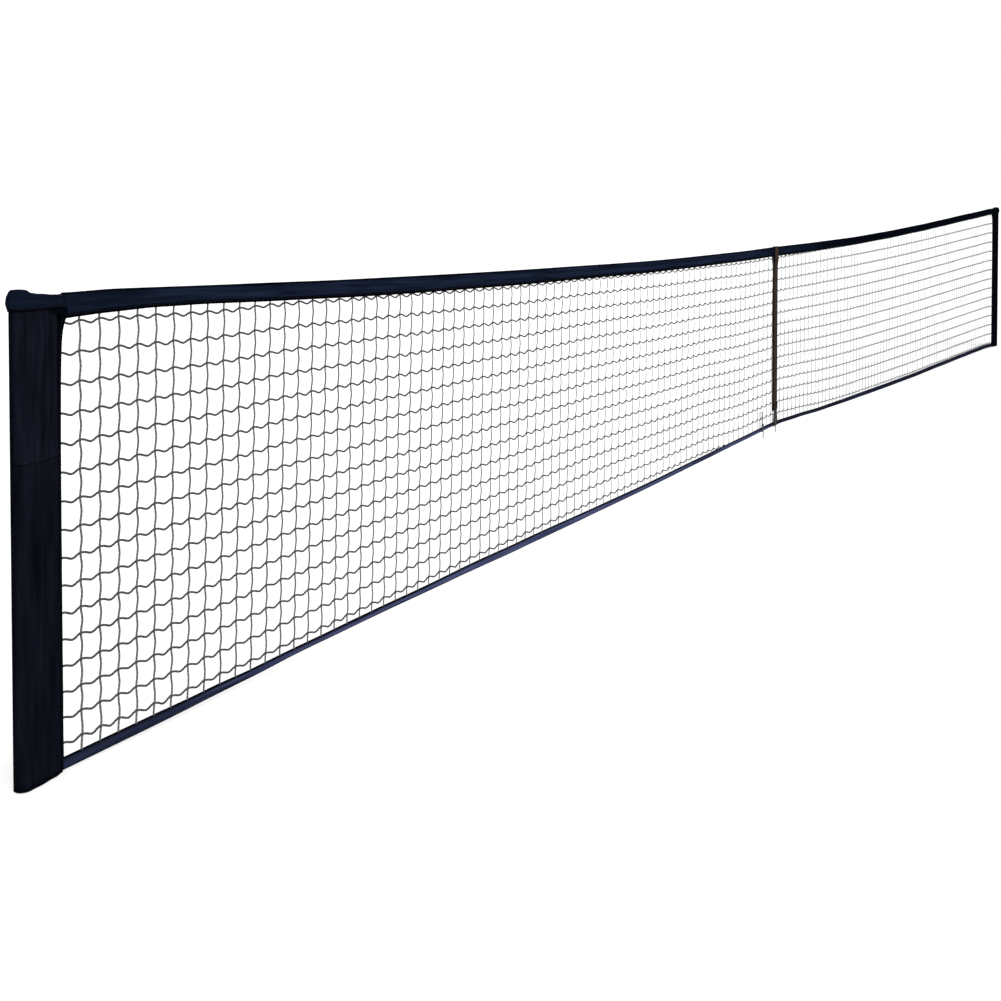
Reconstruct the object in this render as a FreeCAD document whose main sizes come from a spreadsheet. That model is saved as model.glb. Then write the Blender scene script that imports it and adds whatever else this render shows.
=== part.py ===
"""Portable court net: netting in a corded headband and bottom tape, on two sleeved poles.

Millimetres. The origin is the mouth of the left pole's foot, X runs along the net,
-Y is the front and Z is up. The net stands as it does in use: the headband sags
between the poles, and the centre strap lifts the bottom tape into a low peak.
"""
import FreeCAD, Part
import math
import os

import Sketcher

SIZES = {
    # Poles
    "pole_spacing": 6672,
    "net_height": 762,
    "pole_radius": 12.5,
    "pole_wall": 1.5,
    "cap_stem": 25,
    "cap_crown": 8,
    "cap_edge": 4,
    "foot_wall": 2,
    "foot_depth": 60,
    "foot_flange": 2.5,
    # Clearances
    "pole_slip": 0.4,
    "cap_rest": 0.3,
    "seam_slack": 0.3,
    "band_end_slack": 1.2,
    "tape_end_slack": 0.8,
    "cord_slack": 0.3,
    "strap_slack": 0.6,
    # Sleeves and the strips that hold the netting's sides
    "sleeve_width": 76,
    "sleeve_wall": 1.2,
    "sleeve_edge": 5,
    "sleeve_lap": 10,
    "binding_width": 8,
    "binding_floor": 3,
    "binding_wall": 1.1,
    "patch_width": 24,
    "patch_drop": 13,
    "patch_wall": 1,
    # Headband
    "band_height": 38,
    "pocket_height": 34,
    "band_wall": 1.5,
    "band_dip": 12,
    "pocket_dip_start": 18,
    "pocket_dip_run": 28,
    "pocket_shoulder": 9,
    "band_sag": 63,
    "band_cord_radius": 2.5,
    # Bottom tape
    "tape_height": 19,
    "tape_wall": 1.1,
    "tape_start": 5,
    "tape_rise": 74,
    "tape_peak_run": 150,
    "tape_cord_radius": 2,
    # Netting, drawn with wider gaps than the real 42 mm mesh
    "twine": 2.5,
    "gap_columns": 50,
    "gap_rows": 6,
    "net_tuck": 12,
    # Centre strap, measured from the left pole, and the two plastic ties beside its foot
    "strap_place": 3245,
    "strap_width": 50,
    "strap_wall": 1.6,
    "strap_slot": 56,
    "strap_hem": 22,
    "tie_width": 3,
    "tie_wall": 1.4,
    "tie_head": 7,
    "tie_tail": 22,
    "strap_tie_inset": 6,
    "net_tie_place": 137,
    "net_tie_height": 62,
}

doc = FreeCAD.newDocument("court_net")
sheet = doc.addObject("Spreadsheet::Sheet", "Sizes")
for row, (alias, number) in enumerate(SIZES.items(), start=1):
    sheet.set(f"A{row}", alias)
    sheet.set(f"B{row}", str(number))
    sheet.setAlias(f"B{row}", alias)
doc.recompute()


def size(alias):
    """The expression that reads one cell."""
    return f"Sizes.{alias}"


def value(expression):
    """The number that an expression gives."""
    return float(sheet.evalExpression(expression))


# Sketches and features

def new_body(name):
    return doc.addObject("PartDesign::Body", name)


def new_sketch(body, name, role, height=None):
    """A sketch on one of the body's own planes, raised by an expression if one is given."""
    sketch = body.newObject("Sketcher::SketchObject", name)
    plane = [item for item in body.Origin.OriginFeatures if item.Role == role][0]
    sketch.AttachmentSupport = [(plane, "")]
    sketch.MapMode = "FlatFace"
    if height is not None:
        sketch.setExpression("AttachmentOffset.Base.z", height)
    return sketch


def pin_point(sketch, index, end, place):
    """Fix one end of an edge at a place given by two expressions."""
    for kind, expression in zip(("DistanceX", "DistanceY"), place):
        constraint = Sketcher.Constraint(kind, -1, 1, index, end, value(expression))
        sketch.setExpression(f"Constraints[{sketch.addConstraint(constraint)}]", expression)


def arc_between(start, finish, radius, turn, large):
    """The arc that leaves start, turns left (1) or right (-1) and reaches finish."""
    chord = finish - start
    middle = (start + finish) * 0.5
    left = FreeCAD.Vector(-chord.y, chord.x, 0).normalize()
    reach = math.sqrt(max(radius ** 2 - (chord.Length / 2) ** 2, 0))
    centre = middle + left * (reach * turn * (-1 if large else 1))
    first, last = (start, finish) if turn > 0 else (finish, start)
    angles = [math.atan2(point.y - centre.y, point.x - centre.x) for point in (first, last)]
    circle = Part.Circle(centre, FreeCAD.Vector(0, 0, 1), radius)
    return Part.ArcOfCircle(circle, angles[0], angles[1])


def draw_loop(sketch, corners):
    """Closed outline. A corner is (x, y), or (x, y, radius, turn, large) before an arc."""
    places = [corner[:2] for corner in corners]
    points = [FreeCAD.Vector(value(x), value(y), 0) for x, y in places]
    ends = []
    for corner, start, finish in zip(corners, points, points[1:] + points[:1]):
        if len(corner) == 2:
            index = sketch.addGeometry(Part.LineSegment(start, finish), False)
            ends.append((index, 1, 2))
            continue
        radius, turn, large = corner[2:]
        arc = arc_between(start, finish, value(radius), turn, large)
        index = sketch.addGeometry(arc, False)
        ends.append((index, 1, 2) if turn > 0 else (index, 2, 1))
        bend = sketch.addConstraint(Sketcher.Constraint("Radius", index, value(radius)))
        sketch.setExpression(f"Constraints[{bend}]", radius)
    for here, (index, first, _) in enumerate(ends):
        before, _, last = ends[here - 1]
        sketch.addConstraint(Sketcher.Constraint("Coincident", before, last, index, first))
        pin_point(sketch, index, first, places[here])


def draw_circle(sketch, radius):
    """A circle about the sketch's origin."""
    circle = Part.Circle(FreeCAD.Vector(0, 0, 0), FreeCAD.Vector(0, 0, 1), value(radius))
    index = sketch.addGeometry(circle, False)
    sketch.addConstraint(Sketcher.Constraint("Coincident", index, 3, -1, 1))
    bend = sketch.addConstraint(Sketcher.Constraint("Radius", index, value(radius)))
    sketch.setExpression(f"Constraints[{bend}]", radius)


def extrude(body, name, sketch, length, kind="PartDesign::Pad", both_ways=False):
    feature = body.newObject(kind, name)
    feature.Profile = sketch
    feature.setExpression("Length", length)
    feature.Midplane = both_ways
    return feature


def side_plate(name, corners, thickness):
    """A body whose outline is drawn in the XZ plane, centred on Y."""
    body = new_body(name)
    sketch = new_sketch(body, name + "_outline", "XZ_Plane")
    draw_loop(sketch, corners)
    extrude(body, name + "_plate", sketch, thickness, both_ways=True)
    return body


def join(name, pieces):
    fusion = doc.addObject("Part::MultiFuse", name)
    fusion.Shapes = pieces
    return fusion


def cut(name, base, tool):
    result = doc.addObject("Part::Cut", name)
    result.Base = base
    result.Tool = tool
    return result


def common(name, base, tool):
    result = doc.addObject("Part::MultiCommon", name)
    result.Shapes = [base, tool]
    return result


def mirrored(name, source):
    """The same piece at the right-hand end."""
    copy = doc.addObject("Part::Mirroring", name)
    copy.Source = source
    copy.Normal = FreeCAD.Vector(1, 0, 0)
    copy.setExpression("Base.x", MIDDLE)
    return copy


# Heights and lines that several pieces share

MIDDLE = f"({size('pole_spacing')} / 2)"
LEFT_EDGE = size("sleeve_width")

SLEEVE_RADIUS = f"({size('pole_radius')} + {size('pole_slip')} + {size('sleeve_wall')})"
SLEEVE_TIP = f"({size('sleeve_edge')} / 2)"
SLOT_WIDTH = f"({size('twine')} + 2 * {size('seam_slack')})"

BAND_EDGE_TOP = f"({size('net_height')} - {size('band_dip')})"
BAND_CORD_SPACE = f"(2 * ({size('band_cord_radius')} + {size('cord_slack')}))"
BAND_ROLL = f"({BAND_CORD_SPACE} + 2 * {size('band_wall')})"
BAND_CORD_DEPTH = f"({size('band_wall')} + {BAND_CORD_SPACE} / 2)"
POCKET_FOOT = f"({size('net_height')} - {size('pocket_height')})"
SLEEVE_TOP = f"({POCKET_FOOT} + {size('sleeve_lap')})"
CAP_TOP = f"({size('net_height')} - {size('band_wall')} - {size('cap_rest')})"
TUBE_TOP = f"({CAP_TOP} - {size('cap_crown')})"
FOOT_BORE = f"({size('pole_radius')} - {size('pole_wall')} - {size('foot_wall')})"
EYE_RADIUS = f"({size('pole_radius')} + {size('pole_slip')} + {size('band_cord_radius')})"
EYE_SPACE = f"({EYE_RADIUS} + {size('band_cord_radius')} + 2 * {size('pole_slip')})"
END_RADIUS = f"({EYE_SPACE} + {size('band_wall')})"
END_TIP_PLACE = f"({LEFT_EDGE} + {size('band_wall')})"
BAND_START = f"({END_TIP_PLACE} + {size('band_end_slack')})"
BAND_HALF = f"({MIDDLE} - {BAND_START})"
BAND_RADIUS = f"(({BAND_HALF} ^ 2 + {size('band_sag')} ^ 2) / (2 * {size('band_sag')}))"

TAPE_LEFT = f"({LEFT_EDGE} + {size('tape_end_slack')})"
TAPE_PEAK_PLACE = size("strap_place")
TAPE_SLOPE = f"(({size('tape_rise')} - {size('tape_start')}) / ({TAPE_PEAK_PLACE} - {TAPE_LEFT}))"
TAPE_RUN = size("tape_peak_run")
TAPE_BEND = f"({TAPE_RUN} * sqrt(1 + {TAPE_SLOPE} ^ 2) / {TAPE_SLOPE})"
TAPE_SHOULDER = f"({size('tape_rise')} - {TAPE_RUN} * {TAPE_SLOPE})"
TAPE_PEAK = f"({TAPE_SHOULDER} + {TAPE_BEND} * (1 - 1 / sqrt(1 + {TAPE_SLOPE} ^ 2)))"
TAPE_CORD_SPACE = f"(2 * ({size('tape_cord_radius')} + {size('cord_slack')}))"
TAPE_ROLL = f"({TAPE_CORD_SPACE} + 2 * {size('tape_wall')})"


def band_line(x, drop):
    """Height of the headband's sagging line at x, drop below its top edge."""
    radius = value(BAND_RADIUS)
    sagged = value(BAND_EDGE_TOP) - value(size("band_sag"))
    return sagged + radius - math.sqrt(radius ** 2 - (x - value(MIDDLE)) ** 2) - drop


def tape_line(x, lift):
    """Height of the bottom tape's peaked line at x, lift above its lower edge."""
    away = abs(x - value(TAPE_PEAK_PLACE))
    if away > value(TAPE_RUN):
        return value(size("tape_rise")) - away * value(TAPE_SLOPE) + lift
    bend = value(TAPE_BEND)
    return value(TAPE_PEAK) - bend + math.sqrt(bend ** 2 - away ** 2) + lift


def teardrop(radius, tip_place, tip_half):
    """Cloth round the pole that runs straight to a flat edge, seen from above."""
    reach = f"sqrt({tip_place} ^ 2 + {tip_half} ^ 2)"
    lean = f"(({radius}) / {reach})"
    across = f"sqrt(1 - {lean} ^ 2)"
    unit_x = f"({tip_place} / {reach})"
    unit_y = f"({tip_half} / {reach})"
    touch_x = f"({radius}) * ({lean} * {unit_x} - {across} * {unit_y})"
    touch_y = f"({radius}) * ({lean} * {unit_y} + {across} * {unit_x})"
    return [
        (tip_place, f"-{tip_half}"),
        (tip_place, tip_half),
        (touch_x, touch_y, radius, 1, True),
        (touch_x, f"-({touch_y})"),
    ]


# Poles

def make_pole_tube():
    body = new_body("left_pole_tube")
    sketch = new_sketch(body, "tube_section", "XY_Plane", size("foot_flange"))
    draw_circle(sketch, size("pole_radius"))
    draw_circle(sketch, f"{size('pole_radius')} - {size('pole_wall')}")
    extrude(body, "tube_length", sketch, f"{TUBE_TOP} - {size('foot_flange')}")
    return body


def revolve(body, name, sketch):
    feature = body.newObject("PartDesign::Revolution", name)
    feature.Profile = sketch
    feature.ReferenceAxis = (sketch, ["V_Axis"])
    feature.Angle = 360
    return feature


def make_pole_cap():
    """A stem in the tube under a crown with a bevelled rim."""
    body = new_body("left_pole_cap")
    sketch = new_sketch(body, "cap_section", "XZ_Plane")
    stem = f"{size('pole_radius')} - {size('pole_wall')}"
    flat = f"{size('pole_radius')} - {size('cap_edge')}"
    draw_loop(sketch, [
        ("0", f"{TUBE_TOP} - {size('cap_stem')}"),
        (stem, f"{TUBE_TOP} - {size('cap_stem')}"),
        (stem, TUBE_TOP),
        (size("pole_radius"), TUBE_TOP),
        (size("pole_radius"), f"{CAP_TOP} - {size('cap_edge')}"),
        (flat, CAP_TOP),
        ("0", CAP_TOP),
    ])
    revolve(body, "cap_turned", sketch)
    return body


def make_pole_foot():
    """A liner that takes the spigot of whatever holds the pole, with a flange at its mouth."""
    body = new_body("left_pole_foot")
    sketch = new_sketch(body, "foot_section", "XZ_Plane")
    liner = f"{size('pole_radius')} - {size('pole_wall')}"
    draw_loop(sketch, [
        (FOOT_BORE, "0"),
        (size("pole_radius"), "0"),
        (size("pole_radius"), size("foot_flange")),
        (liner, size("foot_flange")),
        (liner, size("foot_depth")),
        (FOOT_BORE, size("foot_depth")),
    ])
    revolve(body, "foot_turned", sketch)
    return body


# Sleeves and side strips

def make_sleeve():
    body = new_body("left_sleeve")
    sketch = new_sketch(body, "sleeve_section", "XY_Plane")
    draw_loop(sketch, teardrop(SLEEVE_RADIUS, LEFT_EDGE, SLEEVE_TIP))
    inside = f"({SLEEVE_RADIUS} - {size('sleeve_wall')})"
    hem = f"({LEFT_EDGE} - {size('sleeve_edge')})"
    draw_loop(sketch, teardrop(inside, hem, f"({SLEEVE_TIP} - {size('sleeve_wall')} / 2)"))
    extrude(body, "sleeve_length", sketch, SLEEVE_TOP)
    return body


def make_side_binding():
    """A folded strip down the sleeve's inner edge, open towards the netting."""
    body = new_body("left_side_binding")
    low = f"{size('tape_start')} + {size('tape_height')} + {size('seam_slack')}"
    high = f"{BAND_EDGE_TOP} - {size('band_height')} - {size('seam_slack')}"
    far = f"{LEFT_EDGE} + {size('binding_width')}"
    floor = f"{LEFT_EDGE} + {size('binding_floor')}"
    drop = f"{size('binding_width')} * 2 * {size('band_sag')} / {BAND_HALF}"
    climb = f"{size('binding_width')} * {TAPE_SLOPE}"
    strip = [(LEFT_EDGE, low), (far, f"{low} + {climb}"), (far, f"{high} - {drop}"), (LEFT_EDGE, high)]
    sketch = new_sketch(body, "binding_outline", "XZ_Plane")
    draw_loop(sketch, strip)
    extrude(body, "binding_strip", sketch, f"2 * {size('binding_wall')} + {SLOT_WIDTH}", both_ways=True)
    doc.recompute()
    fold = new_sketch(body, "binding_fold", "XZ_Plane")
    draw_loop(fold, [(floor, "0"), (f"{far} + 1", "0"), (f"{far} + 1", high), (floor, high)])
    extrude(body, "binding_slot", fold, SLOT_WIDTH, "PartDesign::Pocket", both_ways=True)
    return body


def make_corner_patch():
    """Triangles of doubled cloth under the headband, one on each face of the sleeve."""
    wrap = new_body("patch_wrap")
    sketch = new_sketch(wrap, "patch_section", "XY_Plane")
    grown = f"({SLEEVE_RADIUS} + {size('patch_wall')})"
    draw_loop(sketch, teardrop(grown, LEFT_EDGE, f"({SLEEVE_TIP} + {size('patch_wall')})"))
    extrude(wrap, "patch_length", sketch, POCKET_FOOT)
    core = new_body("patch_core")
    inner = new_sketch(core, "patch_core_section", "XY_Plane")
    draw_loop(inner, teardrop(SLEEVE_RADIUS, LEFT_EDGE, SLEEVE_TIP))
    extrude(core, "patch_core_length", inner, POCKET_FOOT)
    shell = cut("patch_shell", wrap, core)
    start = f"{LEFT_EDGE} - {size('patch_width')}"
    triangle = side_plate("patch_triangle", [
        (start, POCKET_FOOT),
        (LEFT_EDGE, f"{POCKET_FOOT} - {size('patch_drop')}"),
        (LEFT_EDGE, POCKET_FOOT),
    ], f"4 * {SLEEVE_RADIUS}")
    return common("left_corner_patch", shell, triangle)


# Headband

def pocket_outline(top_drop, inset):
    """The corner from the front: over the pole, then dipping to the sleeve's edge."""
    start = f"-({END_RADIUS} - {inset})"
    round_off = f"({size('pocket_shoulder')} - {inset})"
    top = f"({size('net_height')} - {top_drop})"
    dip_end = f"({size('pocket_dip_start')} + {size('pocket_dip_run')})"
    edge = f"({BAND_EDGE_TOP} - {top_drop})"
    return [
        (start, f"{POCKET_FOOT} - {inset}"),
        (start, f"{top} - {round_off}", round_off, -1, False),
        (f"{start} + {round_off}", top),
        (size("pocket_dip_start"), top),
        (dip_end, f"{edge} + {size('band_wall')}"),
        (f"{END_TIP_PLACE} - {inset}", edge),
        (f"{END_TIP_PLACE} - {inset}", f"{POCKET_FOOT} - {inset}"),
    ]


def make_pocket_cloth():
    """A teardrop wall that flares over the cord's eye, trimmed to the dipping top line."""
    body = new_body("pocket_cloth")
    wall = size("band_wall")
    low = new_sketch(body, "pocket_low", "XY_Plane", POCKET_FOOT)
    draw_loop(low, teardrop(f"({SLEEVE_RADIUS} + {wall})", END_TIP_PLACE, f"({SLEEVE_TIP} + {wall} / 2)"))
    full = new_sketch(body, "pocket_full", "XY_Plane", f"{SLEEVE_TOP} - 1")
    draw_loop(full, teardrop(END_RADIUS, END_TIP_PLACE, f"({BAND_ROLL} / 2 + {size('seam_slack')})"))
    flare = body.newObject("PartDesign::AdditiveLoft", "pocket_flare")
    flare.Profile = low
    flare.Sections = [full]
    flare.Ruled = True
    doc.recompute()
    extrude(body, "pocket_rise", full, f"{size('net_height')} - {SLEEVE_TOP} + 1")
    outline = side_plate("pocket_shape", pocket_outline("0", "0"), f"4 * {END_RADIUS}")
    return common("pocket_trimmed", body, outline)


def make_pocket_hollow():
    """The space in the corner: the sleeve's top below, the cord's eye above, the cord's way out."""
    lap = new_body("pocket_lap")
    section = new_sketch(lap, "pocket_lap_section", "XY_Plane", f"{POCKET_FOOT} - 1")
    draw_loop(section, teardrop(SLEEVE_RADIUS, LEFT_EDGE, SLEEVE_TIP))
    extrude(lap, "pocket_lap_length", section, f"{size('sleeve_lap')} + 1 + {size('seam_slack')}")
    room = new_body("pocket_room")
    upper = new_sketch(room, "pocket_room_section", "XY_Plane", f"{SLEEVE_TOP} + {size('seam_slack')}")
    tip = f"({BAND_CORD_SPACE} / 2)"
    draw_loop(upper, teardrop(EYE_SPACE, LEFT_EDGE, tip))
    extrude(room, "pocket_room_length", upper, size("pocket_height"))
    wall = size("band_wall")
    ceiling = side_plate("pocket_ceiling", pocket_outline(wall, wall), f"4 * {END_RADIUS}")
    way = f"({BAND_CORD_SPACE} / 2 + {size('seam_slack')})"
    inlet_height = f"({BAND_EDGE_TOP} - {BAND_CORD_DEPTH})"
    start = f"({LEFT_EDGE} - {wall})"
    finish = f"({END_TIP_PLACE} + 1)"
    inlet = side_plate("pocket_inlet", [
        (start, f"{inlet_height} - {way}"),
        (finish, f"{inlet_height} - {way}"),
        (finish, f"{inlet_height} + {way} - {size('cord_slack')}"),
        (start, f"{inlet_height} + {way} - {size('cord_slack')}"),
    ], f"2 * {way}")
    seam = side_plate("pocket_seam", [
        (LEFT_EDGE, f"{POCKET_FOOT} - 1"),
        (finish, f"{POCKET_FOOT} - 1"),
        (finish, inlet_height),
        (LEFT_EDGE, inlet_height),
    ], f"{SLOT_WIDTH} + 2 * {size('cord_slack')}")
    return join("pocket_hollow", [lap, common("pocket_room_shape", room, ceiling), inlet, seam])


CORD_SIDES = 8
FOLD_STEPS = 9
EYE_SIDES = 16


def ring_points(centre, radius, sides, right, up):
    """Corners of a regular polygon round a circle, with the first one repeated at the end."""
    turns = [2 * math.pi * (step + 0.5) / sides for step in range(sides)]
    reach = radius / math.cos(math.pi / sides)
    points = [centre + right * (reach * math.cos(turn)) + up * (reach * math.sin(turn)) for turn in turns]
    return points + points[:1]


def path_start(path):
    """The first point of a path in the XZ plane, with the directions across it and up from it."""
    first = path.Edges[0]
    across = FreeCAD.Vector(0, 1, 0)
    return first.valueAt(first.FirstParameter), across, first.tangentAt(first.FirstParameter).cross(across)


def swept_cord(path, radius):
    """A cord along a wire. Flat sides keep its facets few."""
    start, across, up = path_start(path)
    ring = Part.makePolygon(ring_points(start, radius, CORD_SIDES, across, up))
    return path.makePipeShell([ring], True, False)


def swept_fold(path, roll, wall, slot, leg):
    """Cloth folded round a cord, drawn along a wire: a roll, and two legs that end leg above it or below."""
    start, across, up = path_start(path)
    side = math.copysign(1, leg)

    def fold(radius, half):
        """One face of the cloth: up one leg, in flats round the roll and down the other."""
        reach = radius / math.cos(math.pi / FOLD_STEPS)
        lean = math.asin(half / reach)
        turns = [lean + step * (2 * math.pi - 2 * lean) / FOLD_STEPS for step in range(FOLD_STEPS + 1)]
        bend = [(reach * math.sin(turn), side * reach * math.cos(turn)) for turn in turns]
        return [(half, leg), *bend, (-half, leg)]

    outline = fold(roll, slot + wall) + fold(roll - wall, slot)[::-1]
    points = [start + across * y + up * z for y, z in outline]
    return path.makePipeShell([Part.makePolygon(points + points[:1])], True, False)


def add_shape(name, shape):
    feature = doc.addObject("Part::Feature", name)
    feature.Shape = shape
    return feature


def band_path(left, depth):
    """The sagging line at one depth, from left to the same place at the other end."""
    places = (left, value(MIDDLE), value(size("pole_spacing")) - left)
    points = [FreeCAD.Vector(x, 0, band_line(x, depth)) for x in places]
    return Part.Wire(Part.Arc(*points).toShape())


def make_headband():
    """Cloth folded over the netting's top edge, with a rolled top round its cord."""
    depth = value(BAND_CORD_DEPTH)
    path = band_path(value(BAND_START), depth)
    leg = depth - value(size("band_height"))
    fold = swept_fold(path, value(BAND_ROLL) / 2, value(size("band_wall")), value(SLOT_WIDTH) / 2, leg)
    return add_shape("headband", fold)


def make_corner_pocket():
    """The cloth corner over the pole's cap, sewn round the sleeve's top."""
    return cut("left_corner_pocket", make_pocket_cloth(), make_pocket_hollow())


def make_headband_cord():
    """A cord that follows the headband's sag and ends in an eye round each pole's top."""
    radius = value(size("band_cord_radius"))
    near = value(EYE_RADIUS)
    path = band_path(near, value(BAND_CORD_DEPTH))
    level = path.Vertexes[0].Point.z - radius
    right = FreeCAD.Vector(1, 0, 0)
    ahead = FreeCAD.Vector(0, 1, 0)
    eyes = []
    for x in (0, value(size("pole_spacing"))):
        centre = FreeCAD.Vector(x, 0, level)
        rings = [
            Part.makePolygon(ring_points(centre, reach, EYE_SIDES, right, ahead))
            for reach in (near + radius, near - radius)
        ]
        face = Part.Face(rings, "Part::FaceMakerBullseye")
        eyes.append(face.extrude(FreeCAD.Vector(0, 0, 2 * radius)))
    cord = swept_cord(path, radius)
    return add_shape("headband_cord", cord.fuse(eyes).removeSplitter().Solids[0])


# Bottom tape

def tape_path(lift):
    """The peaked line at one height over the tape's lower edge, from sleeve to sleeve."""
    left, peak, run = value(TAPE_LEFT), value(TAPE_PEAK_PLACE), value(TAPE_RUN)
    places = (left, peak - run, peak, peak + run, value(size("pole_spacing")) - left)
    points = [FreeCAD.Vector(x, 0, tape_line(x, lift)) for x in places]
    return Part.Wire([
        Part.LineSegment(points[0], points[1]).toShape(),
        Part.Arc(points[1], points[2], points[3]).toShape(),
        Part.LineSegment(points[3], points[4]).toShape(),
    ])


def make_bottom_tape():
    """Tape folded up over the netting's lower edge, with a rolled foot round its cord."""
    lift = value(TAPE_ROLL) / 2
    leg = value(size("tape_height")) - lift
    fold = swept_fold(tape_path(lift), lift, value(size("tape_wall")), value(SLOT_WIDTH) / 2, leg)
    return add_shape("bottom_tape", fold)


def make_bottom_cord():
    """A cord that lies in the bottom tape's fold, from sleeve to sleeve."""
    return add_shape("bottom_cord", swept_cord(tape_path(value(TAPE_ROLL) / 2), value(size("tape_cord_radius"))))


# Netting

def make_netting():
    """One holed sheet of twine, tucked into the headband, the bottom tape and the side strips."""
    twine = value(size("twine"))
    half = twine / 2
    columns = int(value(size("gap_columns")))
    rows = int(value(size("gap_rows")))
    left = value(f"{LEFT_EDGE} + {size('binding_floor')} + {size('seam_slack')}")
    right = value(size("pole_spacing")) - left
    middle = value(MIDDLE)
    band = value(size("band_height"))
    tape = value(size("tape_height"))
    tuck = value(size("net_tuck"))

    def height(x, share):
        """Height of a crossing: share 0 is the bottom tape's edge and 1 the headband's."""
        low = tape_line(x, tape)
        return low + share * (band_line(x, band) - low)

    def point(x, z):
        return FreeCAD.Vector(x, -half, z)

    top = [point(x, band_line(x, band - tuck)) for x in (right, middle, left)]
    peak = value(TAPE_PEAK_PLACE)
    runs = [peak - value(TAPE_RUN), peak + value(TAPE_RUN)]
    foot = [point(x, tape_line(x, tape - tuck)) for x in (left, runs[0], peak, runs[1], right)]
    outline = Part.Wire([
        Part.Arc(*top).toShape(),
        Part.LineSegment(top[2], foot[0]).toShape(),
        Part.LineSegment(foot[0], foot[1]).toShape(),
        Part.Arc(foot[1], foot[2], foot[3]).toShape(),
        Part.LineSegment(foot[3], foot[4]).toShape(),
        Part.LineSegment(foot[4], top[0]).toShape(),
    ])
    pitch = (right - left) / columns
    gaps = []
    for column in range(columns):
        sides = (left + column * pitch + half, left + (column + 1) * pitch - half)
        for row in range(rows):
            corners = [
                point(x, height(x, (row + step) / rows) + (half if step == 0 else -half))
                for step, x in ((0, sides[0]), (0, sides[1]), (1, sides[1]), (1, sides[0]))
            ]
            gaps.append(Part.makePolygon(corners + corners[:1]))
    face = Part.Face([outline] + gaps, "Part::FaceMakerBullseye")
    return add_shape("netting", face.extrude(FreeCAD.Vector(0, twine, 0)))


# Centre strap and ties

STRAP_HALF = f"({BAND_ROLL} / 2 + {size('strap_slack')})"
STRAP_FOOT = f"({TAPE_PEAK} - {size('strap_slack')})"
STRAP_HEAD = f"({BAND_EDGE_TOP} - {size('band_sag')} + {size('strap_slack')})"


def racetrack(half, low, high):
    """Round-ended loop in the YZ plane, its ends' arcs inside low and high."""
    arc = (half, 1, False)
    return [
        (half, f"{low} + {half}"),
        (half, f"{high} - {half}", *arc),
        ("0", high, *arc),
        (f"-{half}", f"{high} - {half}"),
        (f"-{half}", f"{low} + {half}", *arc),
        ("0", low, *arc),
    ]


def square_loop(half, low, high):
    """Sharp-cornered loop in the YZ plane, as a thin tie pulled tight makes."""
    return [(half, low), (half, high), (f"-{half}", high), (f"-{half}", low)]


def band_loop(name, outline, half, low, high, wall, width, place):
    """A flat band of webbing or plastic that closes round the net's thickness."""
    body = new_body(name)
    sketch = new_sketch(body, name + "_section", "YZ_Plane", place)
    draw_loop(sketch, outline(f"({half} + {wall})", f"({low} - {wall})", f"({high} + {wall})"))
    draw_loop(sketch, outline(half, low, high))
    extrude(body, name + "_width", sketch, width, both_ways=True)
    return body


def make_strap():
    """Webbing round the whole net. One half of its width stops above the bottom tape."""
    loop = band_loop(
        "strap_loop", racetrack, STRAP_HALF, STRAP_FOOT, STRAP_HEAD,
        size("strap_wall"), size("strap_width"), size("strap_place"),
    )
    hem_low = f"({STRAP_FOOT} + {size('strap_slot')})"
    hem_high = f"({hem_low} + {size('strap_hem')})"
    middle = size("strap_place")
    left = f"{middle} - {size('strap_width')} / 2"
    right = f"{middle} + {size('strap_width')} / 2"
    below = f"{STRAP_FOOT} - 2 * {STRAP_HALF}"
    notch = side_plate(
        "strap_notch",
        [(f"{left} - 1", below), (middle, below), (middle, hem_low), (f"{left} - 1", hem_low)],
        f"6 * {STRAP_HALF}",
    )
    hem_wrap = side_plate(
        "strap_hem_wrap",
        [(left, hem_low), (right, hem_low), (right, hem_high), (left, hem_high)],
        f"2 * ({STRAP_HALF} + 2 * {size('strap_wall')})",
    )
    hem_core = side_plate(
        "strap_hem_core",
        [(left, hem_low), (right, hem_low), (right, hem_high), (left, hem_high)],
        f"2 * ({STRAP_HALF} + {size('strap_wall')})",
    )
    hemmed = join("strap_hemmed", [loop, cut("strap_hem_layers", hem_wrap, hem_core)])
    return cut("centre_strap", hemmed, notch)


def make_tie(name, off_strap, high):
    """A plastic tie pulled round the bottom tape, its head in front and its tail below."""
    place = f"({size('strap_place')} - ({off_strap}))"
    wall = size("tie_wall")
    half = f"({TAPE_ROLL} / 2 + {size('seam_slack')})"
    fall = f"(({off_strap} + {size('tie_width')}) ^ 2 / (2 * {TAPE_BEND}))"
    low = f"({TAPE_PEAK} - {fall} - {size('strap_slack')})"
    loop = band_loop(name + "_loop", square_loop, half, low, high, wall, size("tie_width"), place)
    head = new_body(name + "_head")
    top = f"({low} + {size('tape_height')})"
    sketch = new_sketch(head, name + "_head_section", "YZ_Plane", place)
    draw_loop(sketch, [
        (f"-({half} + {wall} + {size('tie_width')})", top),
        (f"-{half}", top),
        (f"-{half}", f"{top} + {size('tie_head')}"),
        (f"-({half} + {wall} + {size('tie_width')})", f"{top} + {size('tie_head')}"),
    ])
    extrude(head, name + "_head_block", sketch, f"2 * {size('tie_width')}", both_ways=True)
    tail = new_body(name + "_tail")
    strip = new_sketch(tail, name + "_tail_section", "YZ_Plane", place)
    draw_loop(strip, [
        (f"-({half} + {wall} + {size('tie_width')})", top),
        (f"-({half} + {wall} + {size('tie_width')})", f"{low} - {size('tie_tail')}"),
        (f"-({half} + {size('tie_width')})", f"{low} - {size('tie_tail')}"),
        (f"-({half} + {size('tie_width')})", top),
    ])
    extrude(tail, name + "_tail_strip", strip, size("tie_width"), both_ways=True)
    return join(name, [loop, head, tail])


# Assembly

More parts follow.
